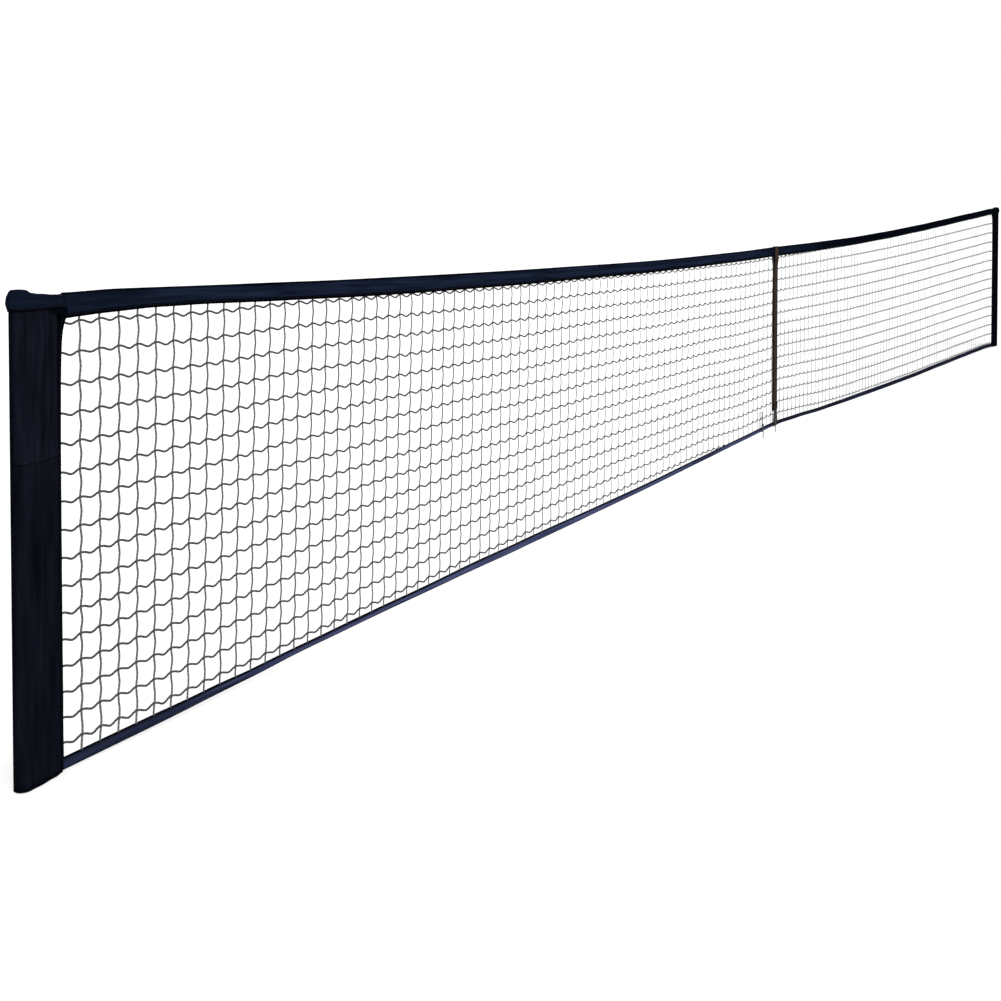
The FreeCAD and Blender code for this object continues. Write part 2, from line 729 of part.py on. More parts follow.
def build_nodes():
    left_end = {
        "pole_tube": make_pole_tube(),
        "pole_cap": make_pole_cap(),
        "pole_foot": make_pole_foot(),
        "sleeve": make_sleeve(),
        "side_binding": make_side_binding(),
        "corner_patch": make_corner_patch(),
        "corner_pocket": make_corner_pocket(),
    }
    nodes = {}
    for name, piece in left_end.items():
        nodes["left_" + name] = piece
        nodes["right_" + name] = mirrored("right_" + name, piece)
    nodes["headband"] = make_headband()
    nodes["headband_cord"] = make_headband_cord()
    nodes["bottom_tape"] = make_bottom_tape()
    nodes["bottom_cord"] = make_bottom_cord()
    nodes["netting"] = make_netting()
    nodes["centre_strap"] = make_strap()
    strap_side = f"({size('strap_width')} / 2 - {size('strap_tie_inset')})"
    hem_low = f"({STRAP_FOOT} + {size('strap_slot')} - {size('tie_wall')} - {size('seam_slack')})"
    nodes["strap_tie"] = make_tie("strap_tie", strap_side, hem_low)
    tie_top = f"({STRAP_FOOT} + {size('net_tie_height')})"
    nodes["net_tie"] = make_tie("net_tie", size("net_tie_place"), tie_top)
    return nodes


nodes = build_nodes()
for name, piece in nodes.items():
    piece.Label = name
doc.recompute()

for item in doc.Objects:
    if "Invalid" in item.State or "Error" in item.State:
        raise RuntimeError(f"{item.Name} failed: {item.State}")
for name, piece in nodes.items():
    if piece.Shape.isNull() or not piece.Shape.isValid():
        raise RuntimeError(f"{name} has no valid shape")

os.makedirs("parts", exist_ok=True)
for name, piece in nodes.items():
    piece.Shape.exportStep(os.path.join("parts", name + ".step"))
    box = piece.Shape.BoundBox
    print(
        f"{name}: solids {len(piece.Shape.Solids)}, volume {piece.Shape.Volume / 1000:.2f} cm3, "
        f"x {box.XMin:.1f}..{box.XMax:.1f}, y {box.YMin:.2f}..{box.YMax:.2f}, "
        f"z {box.ZMin:.1f}..{box.ZMax:.1f}"
    )
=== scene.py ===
# %% [markdown]
# # A portable court net
# The object is a low net for a small court: square netting that hangs between two upright
# poles. Cloth sleeves hold the poles, a dark headband sags along the top, a lighter tape
# rises to a peak along the bottom, and a strap holds both at the middle.
# This lesson dresses the measured model, which is loaded as a fixed frame, with the cloth,
# twine and stitching that give a net its looks. Every length is in metres.

import math

import bmesh
import bpy
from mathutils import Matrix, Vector, noise


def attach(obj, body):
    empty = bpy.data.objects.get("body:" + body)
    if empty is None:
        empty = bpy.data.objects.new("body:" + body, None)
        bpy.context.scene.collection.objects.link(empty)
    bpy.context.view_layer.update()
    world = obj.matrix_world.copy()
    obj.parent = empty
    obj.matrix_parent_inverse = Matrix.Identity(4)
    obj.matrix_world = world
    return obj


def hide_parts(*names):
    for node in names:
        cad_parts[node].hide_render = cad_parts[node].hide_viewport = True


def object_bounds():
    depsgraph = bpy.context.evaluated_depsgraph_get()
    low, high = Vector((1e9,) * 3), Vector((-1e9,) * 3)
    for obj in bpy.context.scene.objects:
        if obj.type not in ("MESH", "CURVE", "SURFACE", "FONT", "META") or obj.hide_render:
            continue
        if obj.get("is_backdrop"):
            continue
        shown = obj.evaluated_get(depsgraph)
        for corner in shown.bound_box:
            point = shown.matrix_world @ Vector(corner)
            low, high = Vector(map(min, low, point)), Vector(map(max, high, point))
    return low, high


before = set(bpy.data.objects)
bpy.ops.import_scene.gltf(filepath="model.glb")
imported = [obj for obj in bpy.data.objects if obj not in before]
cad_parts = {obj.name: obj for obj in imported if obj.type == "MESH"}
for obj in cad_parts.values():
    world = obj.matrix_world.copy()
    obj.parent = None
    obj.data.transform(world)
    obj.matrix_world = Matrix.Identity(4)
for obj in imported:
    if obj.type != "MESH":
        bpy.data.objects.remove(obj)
cad_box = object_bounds()
print("CAD box:", [[round(v, 3) for v in corner] for corner in cad_box])

# %% [markdown]
# ## Camera
# The picture is taken from near the left end, about chest high, with the net running away
# to the right. A lens of about 51 mm on a 36 mm sensor gives the strong shortening. The
# camera looks almost level, so the poles stay upright, and a shift brings the net into view.

# %% Camera
IMAGE_SIDE = 1001
FOCAL_PIXELS = 1434.0
CAMERA_PLACE = Vector((-1.4668, -1.7297, 0.9309))
CAMERA_YAW = math.radians(31.065)
CAMERA_PITCH = math.radians(1.8)
HORIZON_ROW = 176.2

camera_data = bpy.data.cameras.new("camera")
camera_data.sensor_width = 36.0
camera_data.lens = FOCAL_PIXELS * 36.0 / IMAGE_SIDE
tilt_rows = FOCAL_PIXELS * math.tan(CAMERA_PITCH)
camera_data.shift_y = -((IMAGE_SIDE / 2 - HORIZON_ROW) - tilt_rows) / IMAGE_SIDE
camera_data.clip_start = 0.05
camera_data.clip_end = 100.0
camera = bpy.data.objects.new("camera", camera_data)
bpy.context.scene.collection.objects.link(camera)
forward = Vector((math.cos(CAMERA_YAW), math.sin(CAMERA_YAW), -math.tan(CAMERA_PITCH)))
camera.location = CAMERA_PLACE
camera.rotation_euler = forward.to_track_quat("-Z", "Y").to_euler()
bpy.context.scene.camera = camera
print("lens", round(camera_data.lens, 2), "mm, shift", round(camera_data.shift_y, 4))

# %% [markdown]
# ## The lines of the net
# Two lines shape everything: the headband's top edge, which sags between the poles, and
# the bottom tape's lower edge, which rises to a peak under the strap. A taut cord with an
# even load hangs as a shallow parabola, so the top line is one. The bottom line is two
# nearly straight runs with a rounded peak, plus a small unevenness, as soft tape has.

# %% Lines and sizes
POLE_SPACING = 6.672
MIDDLE = POLE_SPACING / 2
STRAP_PLACE = 3.245
SLEEVE_EDGE = 0.0765
BINDING_EDGE = 0.0786
BAND_START = 0.0850
BAND_EDGE_TOP = 0.750
BAND_SAG = 0.063
BAND_HEIGHT = 0.038
TAPE_LEFT = 0.0768
TAPE_START = 0.005
TAPE_RISE = 0.074
TAPE_ROUNDING = 0.150
TAPE_HEIGHT = 0.019
TAPE_SLOPE = (TAPE_RISE - TAPE_START) / (STRAP_PLACE - TAPE_LEFT)

# soft cloth strays a few millimetres from its line: (place along the net, lift)
BAND_STRAYS = [
    (0.08, 0.0005), (0.2, 0.0035), (0.52, 0.0025), (0.82, 0.001), (1.65, -0.0005), (2.25, -0.0028), (2.9, -0.001),
    (3.25, 0.0016), (3.7, 0.0008), (4.1, 0.0), (4.5, 0.0018), (5.1, 0.0055), (5.5, 0.0085), (5.9, 0.0105),
    (6.2, 0.0095), (6.45, 0.009), (6.6, 0.006),
]
TAPE_STRAYS = [
    (0.08, -0.0025), (0.27, -0.0022), (0.5, 0.0004), (0.67, 0.004), (0.9, 0.004), (1.2, 0.0016), (1.5, -0.002),
    (1.8, -0.004), (2.2, -0.0052), (2.6, -0.0035), (2.95, -0.002), (3.25, 0.0), (3.45, -0.003), (3.75, -0.0085),
    (4.1, -0.0105), (4.5, -0.0115), (4.95, -0.0105), (5.5, -0.005), (5.9, -0.001), (6.2, 0.0015), (6.42, 0.003),
    (6.6, 0.0005),
]
# both strips look narrower where they turn a little away: (place along the net, height)
BAND_DEPTHS = [
    (0.08, 0.0405), (0.12, 0.0388), (0.16, 0.0378), (0.3, 0.0334), (0.4, 0.0325), (0.6, 0.0345), (1.0, 0.0365),
    (1.4, 0.036), (2.0, 0.0335), (2.6, 0.0325), (3.3, 0.032), (4.1, 0.0305), (5.0, 0.0305), (6.6, 0.032),
]
TAPE_DEPTHS = [
    (0.08, 0.0185), (0.18, 0.0185), (0.27, 0.0182), (0.4, 0.0162), (0.53, 0.0138), (0.67, 0.0118), (1.0, 0.0125),
    (1.4, 0.0166), (1.65, 0.0168), (1.92, 0.0145), (2.23, 0.0130), (3.2, 0.0124), (3.6, 0.0130), (4.5, 0.0165),
    (6.4, 0.0185), (6.6, 0.0180),
]


def smooth_step(share):
    """0 to 1, level at both ends."""
    share = min(max(share, 0.0), 1.0)
    return share * share * (3.0 - 2.0 * share)


def between(pairs, place):
    """Height at a place in a list of (place, height), with level turning points."""
    for (x0, z0), (x1, z1) in zip(pairs, pairs[1:]):
        if place <= x1:
            return z0 + (z1 - z0) * smooth_step((place - x0) / (x1 - x0))
    return pairs[-1][1]


def band_top(x):
    """Height of the headband's top edge."""
    away = (x - MIDDLE) / (MIDDLE - BAND_START)
    return BAND_EDGE_TOP - BAND_SAG + BAND_SAG * away * away + between(BAND_STRAYS, x)


def tape_foot(x):
    """Height of the bottom tape's lower edge."""
    away = abs(x - STRAP_PLACE)
    peak = TAPE_RISE - TAPE_ROUNDING * TAPE_SLOPE / 2
    inner = min(away, TAPE_ROUNDING)
    outer = max(away - TAPE_ROUNDING, 0.0)
    height = peak - inner * inner * TAPE_SLOPE / (2 * TAPE_ROUNDING) - outer * TAPE_SLOPE
    return max(height + between(TAPE_STRAYS, x), 0.0015)


for x in (TAPE_LEFT, 1.0, STRAP_PLACE, 5.0, 6.59):
    print(f"x {x:.2f}: headband top {band_top(x):.4f}, tape foot {tape_foot(x):.4f}")

# %% [markdown]
# ## Light and floor
# The picture is a cut-out on white. A matt floor and a bright world give soft, even light,
# and a wide sun from behind the camera keeps the dark cloth readable along its length. Light
# Path makes the floor and the world white for the camera, while the floor still takes the
# net's faint shadow.

# %% Node helper and colours
def add(tree, kind, links=(), **settings):
    """Adds a node, sets its properties and inputs, and links (output socket, input name) pairs."""
    node = tree.nodes.new(kind)
    for key, value in settings.items():
        if hasattr(node, key) and key not in node.inputs:
            setattr(node, key, value)
        else:
            node.inputs[key].default_value = value
    for socket, name in links:
        tree.links.new(socket, node.inputs[name])
    return node


def wire(tree, start, *steps):
    """Runs a value through math steps: (operation, a second number or socket, or None)."""
    for operation, other in steps:
        node = add(tree, "ShaderNodeMath", [(start, 0)], operation=operation)
        if isinstance(other, (int, float)):
            node.inputs[1].default_value = other
        elif other is not None:
            tree.links.new(other, node.inputs[1])
        start = node.outputs[0]
    return start


def map_range(tree, value, kind, low, high):
    """Maps 0 to 1 onto low to high when kind is To, and back when it is From."""
    return add(tree, "ShaderNodeMapRange", [(value, "Value")], **{kind + " Min": low, kind + " Max": high}).outputs[0]


def linear(hex_colour):
    """An sRGB hex colour as linear red, green, blue and 1."""
    parts = [int(hex_colour[i:i + 2], 16) / 255 for i in (0, 2, 4)]
    return tuple(c / 12.92 if c <= 0.04045 else ((c + 0.055) / 1.055) ** 2.4 for c in parts) + (1.0,)


# %% World, floor and lamps
scene = bpy.context.scene
scene.view_settings.view_transform = "Standard"
world = bpy.data.worlds.new("studio")
scene.world = world
world.use_nodes = True
sky = world.node_tree
sky.nodes.clear()
rays = add(sky, "ShaderNodeLightPath")
lit = add(sky, "ShaderNodeBackground", Color=(1, 1, 1, 1), Strength=0.7)
seen = add(sky, "ShaderNodeBackground", Color=(1, 1, 1, 1), Strength=1.0)
straight = wire(sky, rays.outputs["Is Camera Ray"], ("MAXIMUM", rays.outputs["Is Glossy Ray"]),
                ("MAXIMUM", rays.outputs["Is Transmission Ray"]))
sky_mix = add(sky, "ShaderNodeMixShader",
              [(straight, 0), (lit.outputs[0], 1), (seen.outputs[0], 2)])
add(sky, "ShaderNodeOutputWorld", [(sky_mix.outputs[0], "Surface")])

FLOOR_REACH = 40.0
FLOOR_LEVEL = -0.001
floor_mesh = bpy.data.meshes.new("floor")
corners = ((-1, -1), (1, -1), (1, 1), (-1, 1))
floor_mesh.from_pydata([(x * FLOOR_REACH, y * FLOOR_REACH, FLOOR_LEVEL) for x, y in corners], [], [(0, 1, 2, 3)])
floor = bpy.data.objects.new("floor", floor_mesh)
scene.collection.objects.link(floor)
paper = bpy.data.materials.new("white_studio_paper")
paper.use_nodes = True
tree = paper.node_tree
tree.nodes.clear()
matt = add(tree, "ShaderNodeBsdfDiffuse", Color=(0.8, 0.8, 0.8, 1), Roughness=0.0)
glow = add(tree, "ShaderNodeEmission", Color=(1, 1, 1, 1), Strength=0.45)
both = add(tree, "ShaderNodeAddShader", [(matt.outputs[0], 0), (glow.outputs[0], 1)])
rays = add(tree, "ShaderNodeLightPath")
camera_mix = add(tree, "ShaderNodeMixShader",
                 [(rays.outputs["Is Camera Ray"], 0), (matt.outputs[0], 1), (both.outputs[0], 2)])
add(tree, "ShaderNodeOutputMaterial", [(camera_mix.outputs[0], "Surface")])
floor_mesh.materials.append(paper)
floor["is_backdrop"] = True

# a wide soft sun from behind the camera lights all 6.7 m of the net alike
sun = bpy.data.lights.new("soft_sun", "SUN")
sun.energy = 1.3
sun.angle = math.radians(50)
sun_object = bpy.data.objects.new("soft_sun", sun)
sun_object.rotation_euler = Vector((0.35, 0.75, -0.75)).to_track_quat("-Z", "Y").to_euler()
scene.collection.objects.link(sun_object)

# %% [markdown]
# ## Finishes
# Every finish on a net is cloth, twine, plastic or painted metal. Cloth is diffuse and has
# no gloss: seen this slantwise, even a weak gloss would turn dark cloth grey. Its weave shows
# as fine bumps that follow the cloth's own UV map, which is laid out in metres. At the
# picture's scale single threads of 0.5 mm can't be seen, so the weave is drawn at 1.1 mm to
# 2.2 mm, the finest that shows. Uneven dye makes streaks along each strip.

# %% Cloth finishes
# a wave texture at scale 1 has this many bands in a metre
WAVE_BANDS = 3.18
# wear changes a roughness by this much
WEAR = 0.08


def new_finish(name):
    """An empty material with a shader and an output."""
    finish = bpy.data.materials.new(name)
    finish.use_nodes = True
    nodes = finish.node_tree
    nodes.nodes.clear()
    shader = add(nodes, "ShaderNodeBsdfPrincipled")
    add(nodes, "ShaderNodeOutputMaterial", [(shader.outputs[0], "Surface")])
    return finish, nodes, shader


def blend_colour(nodes, share, dark, light):
    """Mixes two sRGB hex colours by a value."""
    colour = add(nodes, "ShaderNodeMix", [(share, "Factor")], data_type="RGBA")
    colour.inputs[6].default_value = linear(dark)
    colour.inputs[7].default_value = linear(light)
    return colour.outputs[2]


def woven_cloth(name, dark, light, thread, roughness, streaks, hem_and_shade_colour):
    """Plain weave on a UV map in metres, with dye streaks (per metre along, across), darker hems and painted shade."""
    finish, nodes, shader = new_finish(name)
    metres = add(nodes, "ShaderNodeTexCoord").outputs["UV"]
    across, along = [
        add(nodes, "ShaderNodeTexWave", [(metres, "Vector")], bands_direction=axis,
            Scale=1.0 / thread / WAVE_BANDS) for axis in "XY"]
    weave = wire(nodes, across.outputs["Fac"], ("MAXIMUM", along.outputs["Fac"]))
    drawn = add(nodes, "ShaderNodeMapping", [(metres, "Vector")], Scale=(streaks[0], streaks[1], 1.0))
    dye = add(nodes, "ShaderNodeTexNoise", [(drawn.outputs[0], "Vector")], Scale=1.0, Detail=5.0, Roughness=0.6)
    shade = wire(nodes, map_range(nodes, dye.outputs["Fac"], "From", 0.3, 0.7), ("MULTIPLY", weave))
    # the hem attribute darkens hems and carries painted shade
    hem = add(nodes, "ShaderNodeAttribute", attribute_name="hem", attribute_type="GEOMETRY")
    colour = add(nodes, "ShaderNodeMix",
                 [(hem.outputs["Fac"], "Factor"), (blend_colour(nodes, shade, dark, light), 6)],
                 data_type="RGBA")
    colour.inputs[7].default_value = linear(hem_and_shade_colour)
    wear = map_range(nodes, dye.outputs["Fac"], "To", roughness - WEAR, roughness + WEAR)
    bump = add(nodes, "ShaderNodeBump", [(weave, "Height")], Strength=0.35, Distance=thread * 0.3)
    nodes.links.new(colour.outputs[2], shader.inputs["Base Color"])
    nodes.links.new(wear, shader.inputs["Roughness"])
    nodes.links.new(bump.outputs[0], shader.inputs["Normal"])
    shader.inputs["Specular IOR Level"].default_value = 0.0
    return finish


# the last colour of each finish is mixed in by the hem attribute, for hems and for painted shade
# coated polyester: deep navy with paler blue streaks
band_cloth = woven_cloth("coated_polyester_navy", "0b101a", "26314b", 0.0012, 0.7, (5.0, 110.0), "020305")
# brushed oxford cloth: rougher and blacker than the headband
sleeve_cloth = woven_cloth("oxford_cloth_black_navy", "080a0f", "1d222e", 0.0014, 0.8, (7.0, 60.0), "040508")
# satin tape: the paler slate blue band along the foot
tape_cloth = woven_cloth("satin_tape_slate", "12162c", "6d77a8", 0.0011, 0.6, (3.0, 150.0), "06070c")
# flat nylon webbing, brown black, ribbed across
strap_webbing = woven_cloth("nylon_webbing_brown_black", "29211d", "51463e", 0.0022, 0.75, (14.0, 260.0), "120e0c")

# %% Twine, cord, plastic and paint
def twisted(name, dark, light, lay, roughness):
    """Twisted yarn: slanting stripes one lay apart, with fibre noise."""
    finish, nodes, shader = new_finish(name)
    place = add(nodes, "ShaderNodeTexCoord").outputs["Object"]
    twist = add(nodes, "ShaderNodeTexWave", [(place, "Vector")],
                bands_direction="DIAGONAL", Scale=1.0 / lay / WAVE_BANDS, Distortion=1.5, Detail=2.0)
    fibre = add(nodes, "ShaderNodeTexNoise", [(place, "Vector")], Scale=900.0, Detail=3.0)
    uneven = add(nodes, "ShaderNodeTexNoise", [(place, "Vector")], Scale=9.0, Detail=2.0)
    shade = wire(nodes, twist.outputs["Fac"], ("MULTIPLY", uneven.outputs["Fac"]))
    colour = blend_colour(nodes, shade, dark, light)
    bump = add(nodes, "ShaderNodeBump", [(fibre.outputs["Fac"], "Height")], Strength=0.4, Distance=0.0004)
    nodes.links.new(colour, shader.inputs["Base Color"])
    nodes.links.new(bump.outputs[0], shader.inputs["Normal"])
    shader.inputs["Roughness"].default_value = roughness
    shader.inputs["Specular IOR Level"].default_value = 0.15
    return finish


def moulded(name, base, roughness, grain):
    """Moulded plastic or powder coat: one colour with a fine grain, rubbed in places."""
    finish, nodes, shader = new_finish(name)
    place = add(nodes, "ShaderNodeTexCoord").outputs["Object"]
    pits = add(nodes, "ShaderNodeTexNoise", [(place, "Vector")],
               Scale=1.0 / grain, Detail=4.0, Roughness=0.6)
    rub = add(nodes, "ShaderNodeTexNoise", [(place, "Vector")], Scale=30.0, Detail=4.0)
    colour = add(nodes, "ShaderNodeMix", [(rub.outputs["Fac"], "Factor")], data_type="RGBA")
    tint = linear(base)
    colour.inputs[6].default_value = tuple(c * 0.85 for c in tint[:3]) + (1,)
    colour.inputs[7].default_value = tuple(min(c * 1.2, 1) for c in tint[:3]) + (1,)
    gloss = map_range(nodes, rub.outputs["Fac"], "To", roughness - WEAR, roughness + WEAR)
    bump = add(nodes, "ShaderNodeBump", [(pits.outputs["Fac"], "Height")], Strength=0.25, Distance=0.0002)
    nodes.links.new(colour.outputs[2], shader.inputs["Base Color"])
    nodes.links.new(gloss, shader.inputs["Roughness"])
    nodes.links.new(bump.outputs[0], shader.inputs["Normal"])
    return finish


# polyethylene twine: three strands twisted, dull grey, paler where it runs upright
twine_across = twisted("twisted_twine_grey", "3e3e40", "6a6a6d", 0.004, 0.7)
twine_up = twisted("twisted_twine_pale_grey", "5c5c5e", "8e8e91", 0.004, 0.7)
# polyester braid and thread: dark, so that they sink into the cloth
dark_cord = twisted("braided_cord_dark_grey", "1c1d20", "3a3b40", 0.003, 0.8)
seam_thread = twisted("sewing_thread_dark_grey", "20242e", "363c49", 0.001, 0.7)
# powder coated steel: a fine even orange peel
pole_paint = moulded("powder_coat_black", "26272a", 0.42, 0.0012)
# moulded polyethylene plugs: dull and slightly soft
cap_plastic = moulded("polyethylene_black", "1e1f21", 0.55, 0.0009)
# nylon cable tie: smoother, grey
tie_plastic = moulded("nylon_tie_dark_grey", "414143", 0.45, 0.0008)

SIDES = ("left", "right")
node_finishes = {"strap_tie": tie_plastic, "net_tie": tie_plastic}
for side in SIDES:
    node_finishes.update({f"{side}_pole_tube": pole_paint, f"{side}_pole_cap": cap_plastic,
                          f"{side}_pole_foot": cap_plastic})
for node, finish in node_finishes.items():
    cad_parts[node].data.materials.clear()
    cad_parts[node].data.materials.append(finish)

# %% [markdown]
# ## Netting
# A net is one shape repeated: twines that run along it, twines that run up it, and a knot
# where they cross. Geometry Nodes make it. Guide lines from knot to knot go into one tree,
# and each carries its place between two knots. The tree hangs the long twines in small
# scallops, bows the upright ones, and gives both their thickness. Far down the net single
# twines blur away in the picture, so the tree slims them from the near end on.

# %% Netting sizes and guides
MESH_PITCH = 0.04176
FIRST_UPRIGHT = 0.1191
UPRIGHTS = 155
NET_LEFT = FIRST_UPRIGHT - MESH_PITCH
NET_RIGHT = NET_LEFT + (UPRIGHTS + 1) * MESH_PITCH
LONG_TWINES = 16
TWINE = 0.0031
# shares of that thickness at the left end, and from SLIM_END on
SLIM_END = 2.2
LONG_SLIMMING = (1.30, 1.05)
UPRIGHT_SLIMMING = (1.25, 0.52)
LONG_SAG = 0.0056
LOW_POINT = 0.58
UPRIGHT_BOW = 0.0028
KNOT_WIDTH = 0.0050
# shares of the height at which the uprights end, inside the headband and inside the tape
TOP_END = 1.014
FOOT_END = -0.016

# the rows lie closer at the foot near the left end: (place along the net, first, step, ease)
ROW_SPACING = [
    (0.12, 0.9895, 0.0703, 0.00044), (0.39, 0.9885, 0.0680, 0.00025), (0.67, 1.0, 0.0674, 0.00012),
    (1.0, 1.0013, 0.06635, 0.00005), (1.41, 0.9996, 0.0648, -0.00002), (1.92, 1.0065, 0.0635, -0.00012),
    (2.59, 1.005, 0.0654, -0.00005), (2.96, 1.002, 0.0676, -0.00003), (4.1, 1.020, 0.0717, 0.0),
    (6.6, 1.014, 0.0717, 0.0),
]
# the uprights lean in at the foot near the left end
LEAN = 0.025
LEAN_RUN = 0.30


def row_share(x, row):
    """Place of a long twine, from 1 at the headband's edge to 0 at the tape's edge."""
    first, step, ease = (between([(spot[0], spot[k]) for spot in ROW_SPACING], x) for k in (1, 2, 3))
    return max(first - step * row + ease * row * row, FOOT_END)


def net_height(x, share):
    """Height of the netting at a share of the way from the tape's edge to the headband's."""
    low = tape_foot(x) + TAPE_HEIGHT
    return low + share * (band_top(x) - BAND_HEIGHT - low)


def crossing(column, row=None, share=None):
    """Where an upright twine meets a long one, or lies at a share of the height."""
    x = FIRST_UPRIGHT + MESH_PITCH * column
    if share is None:
        share = row_share(x, row)
    done = (x - NET_LEFT) / (NET_RIGHT - NET_LEFT)
    x -= LEAN * (1 - math.exp((NET_LEFT - x) / LEAN_RUN)) * (1 - done) * (1 - share)
    return (x, 0.0, net_height(x, share))


def guides(name, lines, knots=None):
    """Guide lines as edges; knots counts the knots passed at each point of a line."""
    spots, edges = [], []
    for line in lines:
        edges += [(len(spots) + i, len(spots) + i + 1) for i in range(len(line) - 1)]
        spots += line
    shape = bpy.data.meshes.new(name)
    shape.from_pydata(spots, edges, [])
    if knots:
        shape.attributes.new("knots", "FLOAT", "POINT").data.foreach_set("value", knots * len(lines))
    return shape


long_guides = guides(
    "long_twine_guides",
    [[crossing(column, row) for column in range(-1, UPRIGHTS + 1)] for row in range(LONG_TWINES)],
    [float(knot) for knot in range(UPRIGHTS + 2)])
upright_guides = guides(
    "upright_twine_guides",
    [[crossing(column, share=TOP_END)] + [crossing(column, row) for row in range(LONG_TWINES - 1)]
     + [crossing(column, share=FOOT_END)] for column in range(UPRIGHTS)],
    [-0.25] + [float(knot) for knot in range(LONG_TWINES - 1)] + [LONG_TWINES - 0.75])

# %% Node trees for the twines
FLOAT, WHOLE, FINISH, THING = ("NodeSocketFloat", "NodeSocketInt", "NodeSocketMaterial", "NodeSocketObject")


def new_tree(name, *inputs):
    """An empty geometry tree with named inputs."""
    tree = bpy.data.node_groups.new(name, "GeometryNodeTree")
    tree.interface.new_socket("Geometry", in_out="INPUT", socket_type="NodeSocketGeometry")
    tree.interface.new_socket("Geometry", in_out="OUTPUT", socket_type="NodeSocketGeometry")
    for label, kind in inputs:
        tree.interface.new_socket(label, in_out="INPUT", socket_type=kind)
    return tree, tree.nodes.new("NodeGroupInput").outputs


def run_tree(name, tree, values, source):
    """Runs a node tree on a mesh and keeps the result as a plain mesh."""
    start = bpy.data.objects.new(name + "_seed", source)
    scene.collection.objects.link(start)
    modifier = start.modifiers.new("grow", "NODES")
    modifier.node_group = tree
    for item in tree.interface.items_tree:
        if item.in_out == "INPUT" and item.name in values:
            modifier[item.identifier] = values[item.name]
    shape = bpy.data.meshes.new_from_object(start.evaluated_get(bpy.context.evaluated_depsgraph_get()))
    bpy.data.objects.remove(start)
    piece = bpy.data.objects.new(name, shape)
    shape.name = name
    scene.collection.objects.link(piece)
    shape.polygons.foreach_set("use_smooth", [True] * len(shape.polygons))
    print(name, "has", sum(len(p.vertices) - 2 for p in shape.polygons), "triangles")
    return piece


def end_tree(tree, given, shape):
    """Makes instances real and sets the material."""
    solid = add(tree, "GeometryNodeRealizeInstances", [(shape, "Geometry")])
    painted = add(tree, "GeometryNodeSetMaterial",
                  [(solid.outputs[0], "Geometry"), (given["Finish"], "Material")])
    tree.links.new(painted.outputs[0], tree.nodes.new("NodeGroupOutput").inputs[0])


# %% Long and upright twines
tree, given = new_tree(
    "twines_from_knot_to_knot", ("Near end", FLOAT), ("Far end", FLOAT), ("Cuts", WHOLE), ("Thickness", FLOAT),
    ("Sag", FLOAT), ("Low point", FLOAT), ("Bow", FLOAT), ("Finish", FINISH))
lines = add(tree, "GeometryNodeMeshToCurve", [(given["Geometry"], "Mesh")])
fine = add(tree, "GeometryNodeSubdivideCurve", [(lines.outputs[0], "Curve"), (given["Cuts"], "Cuts")])
knots = add(tree, "GeometryNodeInputNamedAttribute", data_type="FLOAT", Name="knots").outputs[0]
# the place inside a cell is bent so that the low point may lie right of the middle
half_log = wire(tree, given["Low point"], ("LOGARITHM", math.e))
bend = add(tree, "ShaderNodeMath", [(half_log, 1)], operation="DIVIDE")
bend.inputs[0].default_value = math.log(0.5)
in_cell = wire(tree, knots, ("ADD", 1e-4), ("FRACT", None), ("POWER", bend.outputs[0]))
hang = wire(tree, in_cell, ("MULTIPLY", 2 * math.pi), ("COSINE", None), ("SUBTRACT", 1.0), ("MULTIPLY", 0.5))
chance = add(tree, "ShaderNodeTexNoise", Scale=11.0, Detail=1.0)
spread = wire(tree, chance.outputs["Fac"], ("ADD", 0.5))
dip = wire(tree, hang, ("MULTIPLY", given["Sag"]), ("MULTIPLY", spread))
push = wire(tree, hang, ("MULTIPLY", given["Bow"]), ("MULTIPLY", -1.0), ("MULTIPLY", spread))
shift = add(tree, "ShaderNodeCombineXYZ", [(push, 0), (dip, 2)])
moved = add(tree, "GeometryNodeSetPosition", [(fine.outputs[0], "Geometry"), (shift.outputs[0], "Offset")])
ring = add(tree, "GeometryNodeCurvePrimitiveCircle",
           [(wire(tree, given["Thickness"], ("MULTIPLY", 0.5)), "Radius")], Resolution=5)
along = add(tree, "ShaderNodeSeparateXYZ", [(add(tree, "GeometryNodeInputPosition").outputs[0], "Vector")])
slim = add(tree, "ShaderNodeMapRange", [
    (along.outputs[0], "Value"), (given["Near end"], "To Min"), (given["Far end"], "To Max")],
    **{"From Max": SLIM_END})
tube = add(tree, "GeometryNodeCurveToMesh",
           [(moved.outputs[0], "Curve"), (ring.outputs[0], "Profile Curve"), (slim.outputs[0], "Scale")],
           **{"Fill Caps": True})
end_tree(tree, given, tube.outputs[0])
net_across = run_tree("net_twines_along", tree, {
    "Near end": LONG_SLIMMING[0], "Far end": LONG_SLIMMING[1], "Cuts": 6, "Thickness": TWINE, "Sag": LONG_SAG,
    "Low point": LOW_POINT, "Bow": 0.0, "Finish": twine_across}, long_guides)
net_up = run_tree("net_twines_up", tree, {
    "Near end": UPRIGHT_SLIMMING[0], "Far end": UPRIGHT_SLIMMING[1], "Cuts": 5, "Thickness": TWINE, "Sag": 0.0,
    "Low point": 0.5, "Bow": UPRIGHT_BOW, "Finish": twine_up}, upright_guides)

# %% [markdown]
# The knots are instances of one small bead on the crossings.

# %% Knots
def small_bead(name, rings):
    """A small ball of a few dozen faces, to be repeated."""
    bead = bmesh.new()
    bmesh.ops.create_uvsphere(bead, u_segments=6, v_segments=rings, radius=1.0)
    shape = bpy.data.meshes.new(name)
    bead.to_mesh(shape)
    bead.free()
    return bpy.data.objects.new(name, shape)


